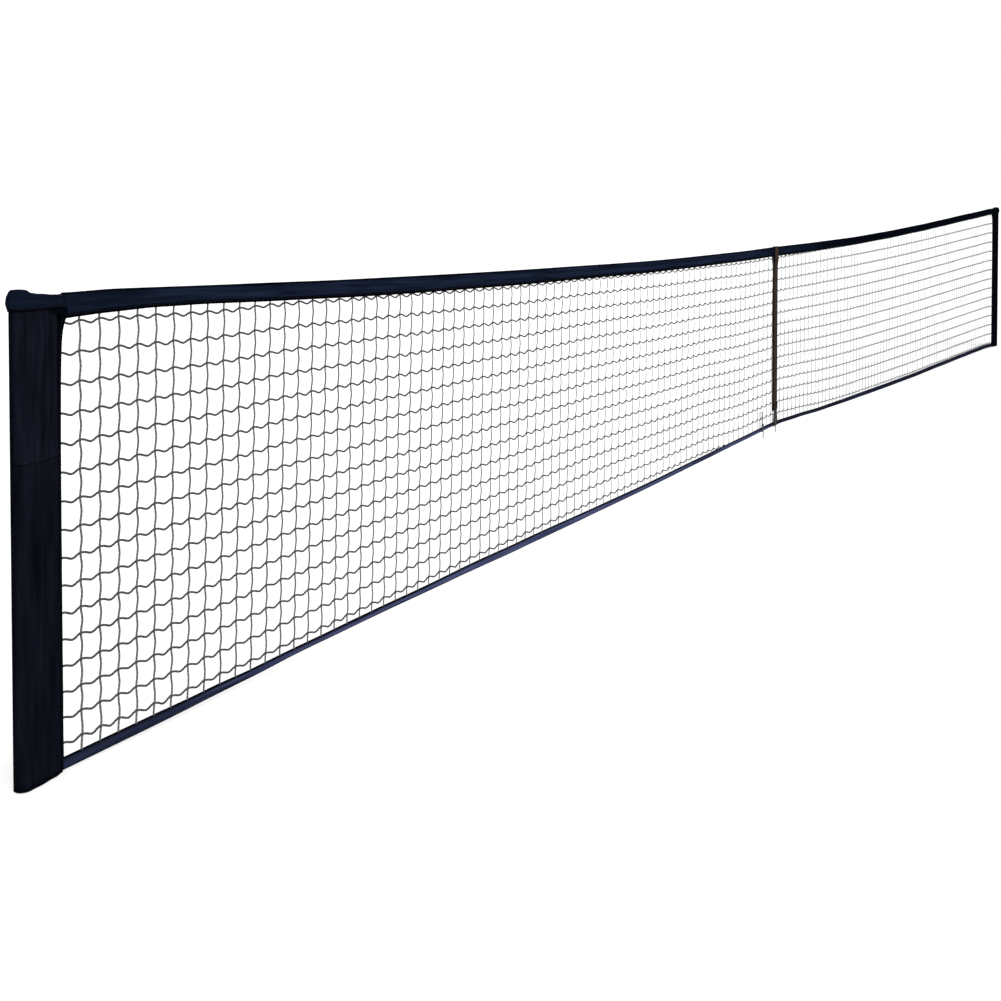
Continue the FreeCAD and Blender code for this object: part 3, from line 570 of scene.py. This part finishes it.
bead_object = small_bead("knot_bead", 4)
crossings = bpy.data.meshes.new("crossings")
crossings.from_pydata([crossing(column, row) for column in range(UPRIGHTS) for row in range(LONG_TWINES)], [], [])
tree, given = new_tree("knots", ("Bead", THING), ("Width", FLOAT), ("Seed", WHOLE), ("Finish", FINISH))
shape = add(tree, "GeometryNodeObjectInfo", [(given["Bead"], "Object")])
turn = add(tree, "FunctionNodeRandomValue", [(given["Seed"], "Seed")], data_type="FLOAT_VECTOR")
turn.inputs[0].default_value = (-0.4, -0.4, -0.4)
turn.inputs[1].default_value = (0.4, 0.4, 0.4)
size = add(tree, "ShaderNodeVectorMath", operation="MULTIPLY")
size.inputs[0].default_value = (0.62, 0.5, 0.5)
tree.links.new(given["Width"], size.inputs[1])
put = add(tree, "GeometryNodeInstanceOnPoints",
          [(given["Geometry"], "Points"), (shape.outputs["Geometry"], "Instance"),
           (turn.outputs[0], "Rotation"), (size.outputs[0], "Scale")])
end_tree(tree, given, put.outputs[0])
net_knots = run_tree("net_knots", tree, {"Bead": bead_object, "Width": KNOT_WIDTH, "Seed": 7,
                                         "Finish": twine_across}, crossings)
bpy.data.objects.remove(bead_object)
for piece in (net_across, net_up, net_knots):
    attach(piece, "net")
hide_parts("netting")

# %% [markdown]
# ## A helper for cloth
# Most pieces of a net are strips that are folded over something. Each is lofted here from
# rows of points. Its UV map is laid out in metres, so the weave keeps its real size, and an
# attribute named hem darkens the sewn edges and carries painted shade: the far ends, the
# fold round each pole and the corners under the pockets. A Solidify modifier then gives the
# strip its real thickness.

# %% Cloth from rows of points
# length of the last stretch of a closed loop
LOOP_CLOSING = 0.003


def net_piece(shell, name, finish, replaces):
    """Turns a finished shell into a piece that moves with the net."""
    bmesh.ops.recalc_face_normals(shell, faces=shell.faces)
    mesh = bpy.data.meshes.new(name)
    shell.to_mesh(mesh)
    shell.free()
    mesh.materials.append(finish)
    piece = bpy.data.objects.new(name, mesh)
    scene.collection.objects.link(piece)
    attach(piece, "net")
    if replaces:
        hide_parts(*replaces)
    return piece


def cloth(name, grid, wall, finish, hem, replaces=(), loop=False, keep=None):
    """A cloth piece through a grid of points; hem gives 0 to 1 for shares of rows and columns and a height, the
    darkness of hems and of painted shade.
    """
    shell = bmesh.new()
    hem_and_shade_layer = shell.verts.layers.float.new("hem")
    uv = shell.loops.layers.uv.new("metres")
    area = 0.0
    points = [[shell.verts.new(p) for p in row] for row in grid]
    for r, row in enumerate(points):
        for c, vertex in enumerate(row):
            vertex[hem_and_shade_layer] = hem(r / (len(points) - 1), c / (len(row) - 1), vertex.co.z)
    middle = len(grid[0]) // 2
    along = [0.0]
    for before, after in zip(grid, grid[1:]):
        along.append(along[-1] + (Vector(after[middle]) - Vector(before[middle])).length)
    across = [[0.0] for _ in grid]
    for r, row in enumerate(grid):
        for before, after in zip(row, row[1:]):
            across[r].append(across[r][-1] + (Vector(after) - Vector(before)).length)
    for r in range(len(grid) if loop else len(grid) - 1):
        n = (r + 1) % len(grid)
        for c in range(len(grid[0]) - 1):
            if keep and not keep(r, c):
                continue
            corners = [(r, c), (n, c), (n, c + 1), (r, c + 1)]
            face = shell.faces.new([points[i][j] for i, j in corners])
            face.smooth = True
            area += face.calc_area()
            for corner, (i, j) in zip(face.loops, corners):
                length = along[-1] + LOOP_CLOSING if n == 0 and i == 0 else along[i]
                corner[uv].uv = (length, across[i][j])
    bmesh.ops.remove_doubles(shell, verts=shell.verts, dist=1e-5)
    piece = net_piece(shell, name, finish, replaces)
    solid = piece.modifiers.new("wall", "SOLIDIFY")
    solid.thickness = wall
    solid.offset = 0.0
    print(f"{name}: {area:.4f} m2 of cloth")
    return piece


def places(start, end, count):
    """Evenly spaced numbers from start to end, both included."""
    return [start + (end - start) * i / (count - 1) for i in range(count)]


def waver(seed, *where):
    """Smooth noise from -1 to 1 at a place, the same in every run."""
    spot = list(where) + [0.0] * (3 - len(where))
    return noise.noise(Vector(spot) + Vector((seed, seed * 1.7, seed * 2.3)))


def at_end(side, rows):
    """The rows as they are at the left end, or mirrored to the right one."""
    return rows if side == "left" else [[(POLE_SPACING - x, y, z) for x, y, z in row] for row in rows]


# %% [markdown]
# ## Headband
# The headband is one long strip of coated cloth, folded over a cord. Its top edge is round
# and taut, its two legs hang flat on both sides of the netting, and each ends in a turned
# hem. The section is drawn once and carried along the sagging line. Cloth simulation would
# only blur this section: a strip that is pulled tight has no slack to drape.

# %% Headband
BAND_WALL = 0.0015
BAND_ROLL = 0.0036
BAND_LEG = 0.0024
BAND_HEM = 0.0065
STRIP_ROWS = 545
# how dark the first columns from a strip's hem are
HEM_MARKS = (1.0, 1.0, 0.9, 0.8, 0.15)


def folded_section(roll, leg, depth, wall, hem, ridge, steps=9):
    """Points (y, distance from the rolled edge) of a strip folded over a cord, from hem to hem."""
    centre = roll + wall / 2
    half = math.pi - math.asin(leg / roll)
    top = [(roll * math.sin(a), centre - roll * math.cos(a)) for a in places(-half, half, steps)]
    front = [(-leg - ridge * 0.4, depth), (-leg - ridge, depth - 0.0008), (-leg - ridge, depth - hem + 0.0008),
             (-leg, depth - hem), (-leg, depth - hem - 0.001), (-leg, (depth - hem + centre + roll) / 2)]
    return front + top + [(-y, d) for y, d in reversed(front)]


def strip_hems_and_painted_shade(columns, fold, fold_width, left, right):
    """Darkness of a folded strip: hems, rolled edge, and both ends as (darkness, start, run); the far end's darkness is
    painted shade.
    """
    def hem(r, c, z):
        column = round(c * columns)
        column = min(column, columns - column)
        edge = HEM_MARKS[column] if column < len(HEM_MARKS) else fold if abs(c - 0.5) < fold_width else 0.0
        dark, start, run = left
        edge = max(edge, dark * smooth_step(start - r / run))
        dark, start, run = right
        return max(edge, dark * smooth_step((r - start) / run))
    return hem


band_rows = []
for x in places(BAND_START, POLE_SPACING - BAND_START, STRIP_ROWS):
    sway = 0.0005 * waver(3, x * 3.1) + 0.0003 * waver(5, x * 17)
    band_section = folded_section(BAND_ROLL, BAND_LEG, between(BAND_DEPTHS, x), BAND_WALL, BAND_HEM, 0.0006)
    band_rows.append([(x, y + sway * d / BAND_HEIGHT + 0.0004 * waver(9, x * 9, y * 300, d * 40), band_top(x) - d)
                      for y, d in band_section])
# the headband is painted darker towards its far right end: painted shade
headband = cloth(
    "headband_strip", band_rows, BAND_WALL, band_cloth,
    strip_hems_and_painted_shade(len(band_section) - 1, 0.75, 0.1, (0.35, 2, 0.018), (0.85, 0.42, 0.2)), ["headband"])

# %% [markdown]
# ## Bottom tape
# The tape along the foot is the same kind of fold turned upside down, in thinner satin: its
# rolled edge is the lower one, and the netting hangs into the open top.

# %% Bottom tape
TAPE_WALL = 0.0011
TAPE_ROLL = 0.0029
TAPE_LEG = 0.0019

tape_rows = []
for x in places(TAPE_LEFT, POLE_SPACING - TAPE_LEFT, STRIP_ROWS):
    sway = 0.0006 * waver(13, x * 4.1)
    foot = tape_foot(x)
    tape_section = folded_section(TAPE_ROLL, TAPE_LEG, between(TAPE_DEPTHS, x), TAPE_WALL, 0.002, 0.0004)
    tape_rows.append([(x, y + sway * d / TAPE_HEIGHT + 0.0004 * waver(19, x * 14, y * 300, d * 60), foot + d)
                      for y, d in tape_section])
# the tape is painted darker towards its far right end: painted shade
bottom_tape = cloth(
    "bottom_tape_strip", tape_rows, TAPE_WALL, tape_cloth,
    strip_hems_and_painted_shade(len(tape_section) - 1, 0.8, 0.12, (0.7, 1.4, 0.07), (0.8, 0.46, 0.03)), ["bottom_tape"])

# %% [markdown]
# ## Pole sleeves
# Each end of the net is a cloth sleeve that slides over the pole: one strip laid round it
# and sewn to itself along the net's edge. The section is a teardrop, a circle round the pole
# with two straight tangents that meet at the seam. The slack cloth between the pole and the
# seam shows soft upright folds.

# %% Sleeves
SLEEVE_WALL = 0.0012
SLEEVE_ROUND = 0.0135
SLEEVE_TIP_HALF = 0.0007
SLEEVE_TOP = 0.738
SLEEVE_SEEDS = {"left": 21, "right": 33}
CROSS_SEAM = 0.4976
SEAM_ROW = 0.0012


def touch_angle(radius, tip, tip_half):
    """The angle at which a teardrop's straight sides leave its circle."""
    return math.atan2(tip_half, tip) + math.acos(radius / math.hypot(tip, tip_half))


def tail_half(x, radius, tip, tip_half):
    """Half thickness of a teardrop at x: a circle round the pole, then a tangent to the tip."""
    lean = touch_angle(radius, tip, tip_half)
    if x <= radius * math.cos(lean):
        return math.sqrt(max(radius * radius - x * x, 0.0))
    return (radius - x * math.cos(lean)) / math.sin(lean)


def teardrop(radius, tip, tip_half, round_steps=15, tail_steps=14):
    """Points (x, y) from the tip's front, round the pole, and back to the tip."""
    lean = touch_angle(radius, tip, tip_half)
    touch = radius * math.cos(lean)
    front = [(x, -tail_half(x, radius, tip, tip_half)) for x in places(tip, touch, tail_steps)[:-1]]
    bend = [(radius * math.cos(a), -radius * math.sin(a)) for a in places(lean, 2 * math.pi - lean, round_steps)]
    return front + bend + [(x, -y) for x, y in reversed(front)]


def sleeve_rows(seed):
    """Rows of a sleeve from its foot to its top, with upright folds that end under the pocket."""
    rows = []
    outline = teardrop(SLEEVE_ROUND, SLEEVE_EDGE, SLEEVE_TIP_HALF)
    seam_heights = [CROSS_SEAM + SEAM_ROW * step for step in (-2, -1, 0, 1, 2)]
    for z in sorted([z for z in places(0.0004, SLEEVE_TOP, 75) if abs(z - CROSS_SEAM) > 0.004] + seam_heights):
        groove = 0.0007 * math.exp(-((z - CROSS_SEAM) / SEAM_ROW) ** 2)
        high = smooth_step((z - 0.62) / 0.08)
        tucked = smooth_step((SLEEVE_TOP - 0.018 - z) / 0.022)
        row = []
        for x, y in outline:
            slack = smooth_step((x - 0.006) / 0.02) * smooth_step((SLEEVE_EDGE - x) / 0.02)
            fold = 0.5 + 0.5 * waver(seed, x * 55, z * 1.6, 0.4 if y > 0 else 0.0)
            crease = 0.5 + 0.5 * waver(seed + 3, x * 20, z * 9, 0.8 if y > 0 else 0.0)
            push = slack * tucked * (0.0030 * fold + (0.0012 + 0.0016 * high) * crease) + 0.0004 - groove
            row.append((x, y + math.copysign(push, y) if 0 < x < SLEEVE_EDGE else y, z))
        rows.append(row)
    return rows


def sleeve_hems_and_painted_shade(r, c, z):
    """Darker at the hems, along the seam across, and round the pole's outer side, where the darkness is painted shade
    from the sleeve's curve.
    """
    edge = 0.8 if min(c, 1 - c) < 0.02 else 0.6 * smooth_step(1 - abs(c - 0.5) / 0.10)
    return max(edge, 0.7 if r < 0.012 else 0.0, 0.9 if abs(z - CROSS_SEAM) < SEAM_ROW / 2 else 0.0,
               0.25 if z < CROSS_SEAM else 0.0)


# the right sleeve lies far away, and is painted nearly black all over as painted shade
for side, hem in (("left", sleeve_hems_and_painted_shade), ("right", lambda r, c, z: max(0.85, sleeve_hems_and_painted_shade(r, c, z)))):
    piece = cloth(f"{side}_sleeve_cloth", at_end(side, sleeve_rows(SLEEVE_SEEDS[side])), SLEEVE_WALL, sleeve_cloth,
                  hem, [f"{side}_sleeve"])

# %% [markdown]
# ## Side bindings and corner patches
# A folded binding closes the seam between sleeve and netting. It reads as a darker line just
# inside the sleeve's edge, and it flares a little where the headband pulls it. Above it, a
# small folded triangle fills the corner under the pocket.

# %% Side bindings
BINDING_WALL = 0.0011
BINDING_INNER = 0.0722
BINDING_HALF = 0.0021
BINDING_FOOT = 0.0225
BINDING_TOP = 0.7155
BINDING_SEEDS = {"left": 41, "right": 47}


def edge_place(z):
    """Where the sleeve's inner edge lies at a height: it flares under the headband."""
    high = max((z - 0.40) / 0.30, 0.0)
    return BINDING_EDGE + 0.0035 * high * high + 0.0125 * math.exp(-(BINDING_TOP - z) / 0.018)


def binding_rows(seed):
    """Rows of the folded binding, from its foot to its top."""
    rows = []
    for z in places(BINDING_FOOT, BINDING_TOP, 90):
        edge = edge_place(z) + 0.0004 * waver(seed, z * 30)
        inner = BINDING_INNER + 0.3 * (edge - BINDING_EDGE)
        centre = edge - BINDING_HALF
        bend = [(centre + BINDING_HALF * math.cos(a), BINDING_HALF * math.sin(a))
                for a in places(-math.pi / 2, math.pi / 2, 7)]
        front = [(inner, -BINDING_HALF + 0.0003), (inner + 0.001, -BINDING_HALF - 0.0003),
                 ((inner + centre) / 2, -BINDING_HALF - 0.0002)]
        rows.append([(x, y, z) for x, y in front + bend + [(x, -y) for x, y in reversed(front)]])
    return rows


for side in SIDES:
    piece = cloth(f"{side}_binding_tape", at_end(side, binding_rows(BINDING_SEEDS[side])), BINDING_WALL, sleeve_cloth,
                  lambda r, c, z: 1.0, [f"{side}_side_binding"])

# %% Corner patches
PATCH_INNER = 0.052
PATCH_OUTER = 0.0775
PATCH_TOP = 0.7268
PATCH_DROP = 0.0125
PATCH_WALL = 0.001
PATCH_LIFT = 0.0058
PATCH_HALF = 0.0034
patch_path = places(PATCH_INNER, SLEEVE_EDGE - 0.001, 9)


def patch_rows():
    """Rows from the straight top to the slanting lower edge, wrapped round the sleeve's edge."""
    rows = []
    for share in places(0.0, 1.0, 6):
        row = []
        for x in patch_path:
            half = tail_half(x, SLEEVE_ROUND, SLEEVE_EDGE, SLEEVE_TIP_HALF) + PATCH_LIFT
            row.append((x, -half, PATCH_TOP - share * PATCH_DROP * (x - PATCH_INNER) / (PATCH_OUTER - PATCH_INNER)))
        tip = edge_place(PATCH_TOP - 0.012)
        for a in places(-math.pi / 2, math.pi / 2, 7)[1:-1]:
            row.append((tip - PATCH_HALF + PATCH_HALF * math.cos(a), PATCH_HALF * math.sin(a),
                        PATCH_TOP - share * PATCH_DROP))
        row += [(x, -y, z) for x, y, z in reversed(row[:len(patch_path)])]
        rows.append(row)
    return rows


# the corner patches are painted near black: painted shadow in the corner under the pocket
for side in SIDES:
    piece = cloth(f"{side}_patch_cloth", at_end(side, patch_rows()), PATCH_WALL, band_cloth,
                  lambda r, c, z: 0.9, [f"{side}_corner_patch"])

# %% [markdown]
# ## Corner pockets
# The headband ends in a pocket that drops over the pole's capped top. It bulges over the
# pole, with a flat top, then dips to the headband's height. It is built as upright sections
# along the net, and each is narrower at its foot and at its fold than at its waist.

# %% Corner pockets
POCKET_ROUND = 0.0176
POCKET_FOOT = 0.728
POCKET_TOP = 0.7594
POCKET_TIP = 0.0846
POCKET_TIP_HALF = 0.0042
POCKET_SEEDS = {"left": 51, "right": 57}
# height of the pocket's fold: (place along the net, height)
POCKET_HIGH = [
    (-0.02, POCKET_TOP), (0.0075, POCKET_TOP), (0.0150, 0.7543), (0.040, 0.7507), (0.070, 0.7476), (POCKET_TIP, 0.7452),
]
# its width: (share of the height, share of the full width)
WAIST = [(0.0, 0.84), (0.38, 1.0), (0.64, 0.95), (0.84, 0.82), (0.96, 0.72), (1.0, 0.62)]


def pocket_rows(seed):
    """Upright sections of the pocket from the outer side to the headband."""
    lean = touch_angle(POCKET_ROUND, POCKET_TIP, POCKET_TIP_HALF)
    touch = POCKET_ROUND * math.cos(lean)
    stations = [POCKET_ROUND * math.cos(a) for a in places(math.pi, lean, 18)] + places(touch, POCKET_TIP, 20)[1:]
    rows = []
    for x in stations:
        half = tail_half(x, POCKET_ROUND, POCKET_TIP, POCKET_TIP_HALF)
        high = between(POCKET_HIGH, x)
        row = []
        for q in places(0.0, 1.0, 11):
            pinch = between(WAIST, q)
            z = POCKET_FOOT + q * (high - POCKET_FOOT)
            push = 0.0007 * waver(seed, x * 50, z * 45) * smooth_step(half / 0.004)
            row.append((x * pinch if x < 0 else x, -half * pinch - push, z))
        crown = [(row[-1][0], half * WAIST[-1][1] * t, high + 0.0003 * (1 - t * t)) for t in (-0.5, 0.0, 0.5)]
        rows.append(row + crown + [(place, -y, z) for place, y, z in reversed(row)])
    return rows


# painted shade: the near pocket is darker at its foot, the far one all over
for side, hem in (("left", lambda r, c, z: 0.9 if min(c, 1 - c) < 0.06 else 0.4), ("right", lambda r, c, z: 0.9)):
    piece = cloth(f"{side}_pocket_cloth", at_end(side, pocket_rows(POCKET_SEEDS[side])), BAND_WALL, band_cloth,
                  hem, [f"{side}_corner_pocket"])

# %% [markdown]
# ## Centre strap
# A strap of nylon webbing lies over the headband and runs down both faces of the net. Near
# its foot half of its width ends in a sewn hem, and the other half goes on round the tape.
# The ribbon is one closed loop of rows, and the rows below the hem keep only their right
# half. Webbing is too stiff and flat for a cloth simulation.

# %% Centre strap
STRAP_MIDDLE = STRAP_PLACE - 0.0115
STRAP_HALF = 0.0175
STRAP_WALL = 0.0016
STRAP_ROLL = 0.0054
STRAP_TURN = 0.0043
STRAP_SLOT = 0.056
STRAP_HEM = 0.022
strap_top = band_top(STRAP_PLACE)
strap_foot = tape_foot(STRAP_PLACE)
hem_height = strap_foot + STRAP_SLOT


def strap_leg(z):
    """How far a leg of the strap lies from the net's plane."""
    near_band = smooth_step((z - (strap_top - BAND_HEIGHT - 0.03)) / 0.03)
    near_tape = smooth_step((strap_foot + TAPE_HEIGHT + 0.02 - z) / 0.02)
    return 0.0023 + 0.0031 * near_band + 0.0016 * near_tape


def strap_loop():
    """Points (y, z) round the whole strap: up the front, over the headband, down, and round the tape."""
    head = strap_top - 0.0043
    turn = strap_foot + 0.0036
    leg = places(turn, head, 76)
    front = [(-strap_leg(z), z) for z in leg]
    half_turn = places(0, math.pi, 9)[1:-1]
    over = [(-STRAP_ROLL * math.cos(a), head + STRAP_ROLL * math.sin(a)) for a in half_turn]
    back = [(strap_leg(z), z) for z in reversed(leg)]
    under = [(STRAP_TURN * math.cos(a), turn - STRAP_TURN * math.sin(a)) for a in half_turn]
    return front + over + back + under


loop_points = strap_loop()
strap_columns = places(STRAP_MIDDLE - STRAP_HALF, STRAP_MIDDLE + STRAP_HALF, 9)
strap_rows = [
    [(x + 0.0008 * waver(61, z * 4.0), y + 0.0003 * waver(63, z * 12, x * 90), z) for x in strap_columns]
    for y, z in loop_points
]


def strap_keeps(row, column):
    """Below the hem only the right half goes on."""
    z = max(loop_points[row][1], loop_points[(row + 1) % len(loop_points)][1])
    return column >= len(strap_columns) // 2 or z > hem_height


hem_rows = [
    [(x + 0.0008 * waver(61, z * 4.0), -strap_leg(z) - 0.0018, z) for x in strap_columns]
    for z in places(hem_height + 0.0005, hem_height + STRAP_HEM, 8)
]
# the webbing's long edges are painted darker as painted shade; the hem piece is darker round its border and a little
# all over
cloth("centre_strap_webbing", strap_rows, STRAP_WALL, strap_webbing,
      lambda r, c, z: 0.75 if min(c, 1 - c) < 0.01 else 0.0, ["centre_strap"], loop=True, keep=strap_keeps)
cloth("centre_strap_hem", hem_rows, STRAP_WALL, strap_webbing,
      lambda r, c, z: 0.8 if min(r, 1 - r, c, 1 - c) < 0.05 else 0.2)

# %% [markdown]
# ## Cords
# Two cords carry the net. The headband's cord ends in an eye round each pole, and the foot's
# cord runs inside the tape. They show only where cloth stands open, so a plain round tube
# along the line is enough, with a braid in its material.

# %% Cords
def cord_tube(name, path, radius, node, slim=0, sides=8):
    """A round cord through points; its first and last few, the spliced eyes, may be slimmer."""
    shell = bmesh.new()
    uv = shell.loops.layers.uv.new("metres")
    rings = []
    for i, point in enumerate(path):
        ahead = Vector(path[min(i + 1, len(path) - 1)]) - Vector(path[max(i - 1, 0)])
        ahead.normalize()
        up = Vector((0, 0, 1)) - ahead * ahead.z
        up.normalize()
        right = ahead.cross(up)
        near_end = min(i, len(path) - 1 - i)
        thick = radius * (0.72 + 0.28 * smooth_step((near_end - slim) / 4 + 1)) if slim else radius
        rings.append([shell.verts.new(Vector(point) + right * thick * math.cos(a) + up * thick * math.sin(a))
                      for a in places(0, 2 * math.pi, sides + 1)[:-1]])
    for r in range(len(rings) - 1):
        for c in range(sides):
            n = (c + 1) % sides
            face = shell.faces.new([rings[r][c], rings[r][n], rings[r + 1][n], rings[r + 1][c]])
            face.smooth = True
            for corner, (i, j) in zip(face.loops, ((r, c), (r, c + 1), (r + 1, c + 1), (r + 1, c))):
                corner[uv].uv = (i * 0.012, j * radius * 0.8)
    shell.faces.new(list(reversed(rings[0])))
    shell.faces.new(rings[-1])
    net_piece(shell, name, dark_cord, [node])


EYE_ROUND = 0.0141
EYE_HEIGHT = 0.7455
CORD_DROP = 0.0043
BAND_CORD = 0.0021
TAPE_CORD = 0.002
TAPE_CORD_LIFT = 0.0034
eye = [(EYE_ROUND * math.cos(a), EYE_ROUND * math.sin(a), EYE_HEIGHT) for a in places(0.35, 2 * math.pi - 0.25, 28)]
run = [(x, 0.0, band_top(x) - CORD_DROP) for x in places(0.08, POLE_SPACING - 0.08, 300)]
join = [(0.03, -0.001, EYE_HEIGHT), (0.05, 0.0, EYE_HEIGHT)]
left_end = eye + join
right_end = at_end("right", [left_end])[0][::-1]
cord_tube("headband_cord_braid", left_end + run + right_end, BAND_CORD, "headband_cord", slim=len(left_end))
tape_run = [(x, 0.0, tape_foot(x) + TAPE_CORD_LIFT) for x in places(0.078, POLE_SPACING - 0.078, 300)]
cord_tube("bottom_cord_braid", tape_run, TAPE_CORD, "bottom_cord")

# %% [markdown]
# ## Stitches
# Sewing is what makes folded strips hold, and rows of small stitches are what the eye looks
# for on cloth. One tree lays a bead every few millimetres along guide lines. The lines lie
# just above the cloth: along the headband's and the tape's hems, down the bindings, round
# the pockets' feet, across the sleeves and in a crossed box on the strap's hem.

# %% Stitches
STITCH_PITCH = 0.0052
STITCH_LENGTH = 0.0034
STITCH_THICK = 0.0007
tree, given = new_tree(
    "stitches", ("Bead", THING), ("Pitch", FLOAT), ("Length", FLOAT), ("Thickness", FLOAT), ("Finish", FINISH))
lines = add(tree, "GeometryNodeMeshToCurve", [(given["Geometry"], "Mesh")])
spots = add(tree, "GeometryNodeCurveToPoints", [(lines.outputs[0], "Curve"), (given["Pitch"], "Length")],
            mode="LENGTH")
bead = add(tree, "GeometryNodeObjectInfo", [(given["Bead"], "Object")])
half_thick = wire(tree, given["Thickness"], ("MULTIPLY", 0.5))
half_long = wire(tree, given["Length"], ("MULTIPLY", 0.5))
size = add(tree, "ShaderNodeCombineXYZ", [(half_thick, 0), (half_thick, 1), (half_long, 2)])
put = add(tree, "GeometryNodeInstanceOnPoints",
          [(spots.outputs["Points"], "Points"), (bead.outputs["Geometry"], "Instance"),
           (spots.outputs["Rotation"], "Rotation"), (size.outputs[0], "Scale")])
end_tree(tree, given, put.outputs[0])


def stitch(name, lines):
    """Rows of stitches along lines of points."""
    bead_object = small_bead("stitch_bead", 3)
    piece = run_tree(name, tree, {"Bead": bead_object, "Pitch": STITCH_PITCH, "Length": STITCH_LENGTH,
                                  "Thickness": STITCH_THICK, "Finish": seam_thread}, guides(name + "_guides", lines))
    bpy.data.objects.remove(bead_object)
    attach(piece, "net")


def lifted(line, lift):
    """A line moved off the cloth, away from the net's plane."""
    return [(x, y + math.copysign(lift, y), z) for x, y, z in line]


def between_columns(rows, first, second, share, lift):
    """A line just outside a strip, part of the way between two of its columns."""
    return lifted([[a + (b - a) * share for a, b in zip(row[first], row[second])] for row in rows], lift)


HEM_COLUMNS = ((1, 2), (-2, -3))
stitch("headband_stitches", [between_columns(band_rows, a, b, 0.75, 0.0009) for a, b in HEM_COLUMNS])
stitch("bottom_tape_stitches", [between_columns(tape_rows, a, b, 0.6, 0.0007) for a, b in HEM_COLUMNS])
for side in SIDES:
    binding = at_end(side, binding_rows(BINDING_SEEDS[side]))
    pocket = at_end(side, pocket_rows(POCKET_SEEDS[side]))
    sleeve = at_end(side, sleeve_rows(SLEEVE_SEEDS[side]))
    seam_row = min(sleeve, key=lambda row: abs(row[0][2] - CROSS_SEAM - 2 * SEAM_ROW))
    lines = [lifted([row[column] for row in binding], 0.0007) for column in (2, -3)]
    lines += [between_columns(pocket[3:], a, b, 0.2, 0.0010) for a, b in HEM_COLUMNS]
    lines.append(lifted(seam_row[2:-2], 0.0008))
    stitch(f"{side}_end_stitches", lines)
box = [(STRAP_MIDDLE + dx, -strap_leg(hem_height) - 0.0030, hem_height + dz)
       for dx, dz in ((-0.014, 0.004), (0.014, 0.004), (0.014, 0.018), (-0.014, 0.018), (-0.014, 0.004))]
stitch("centre_strap_stitches", [box, [box[0], box[2]], [box[1], box[3]]])

# %% Finish
[[list(corner) for corner in box] for box in (cad_box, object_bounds())]
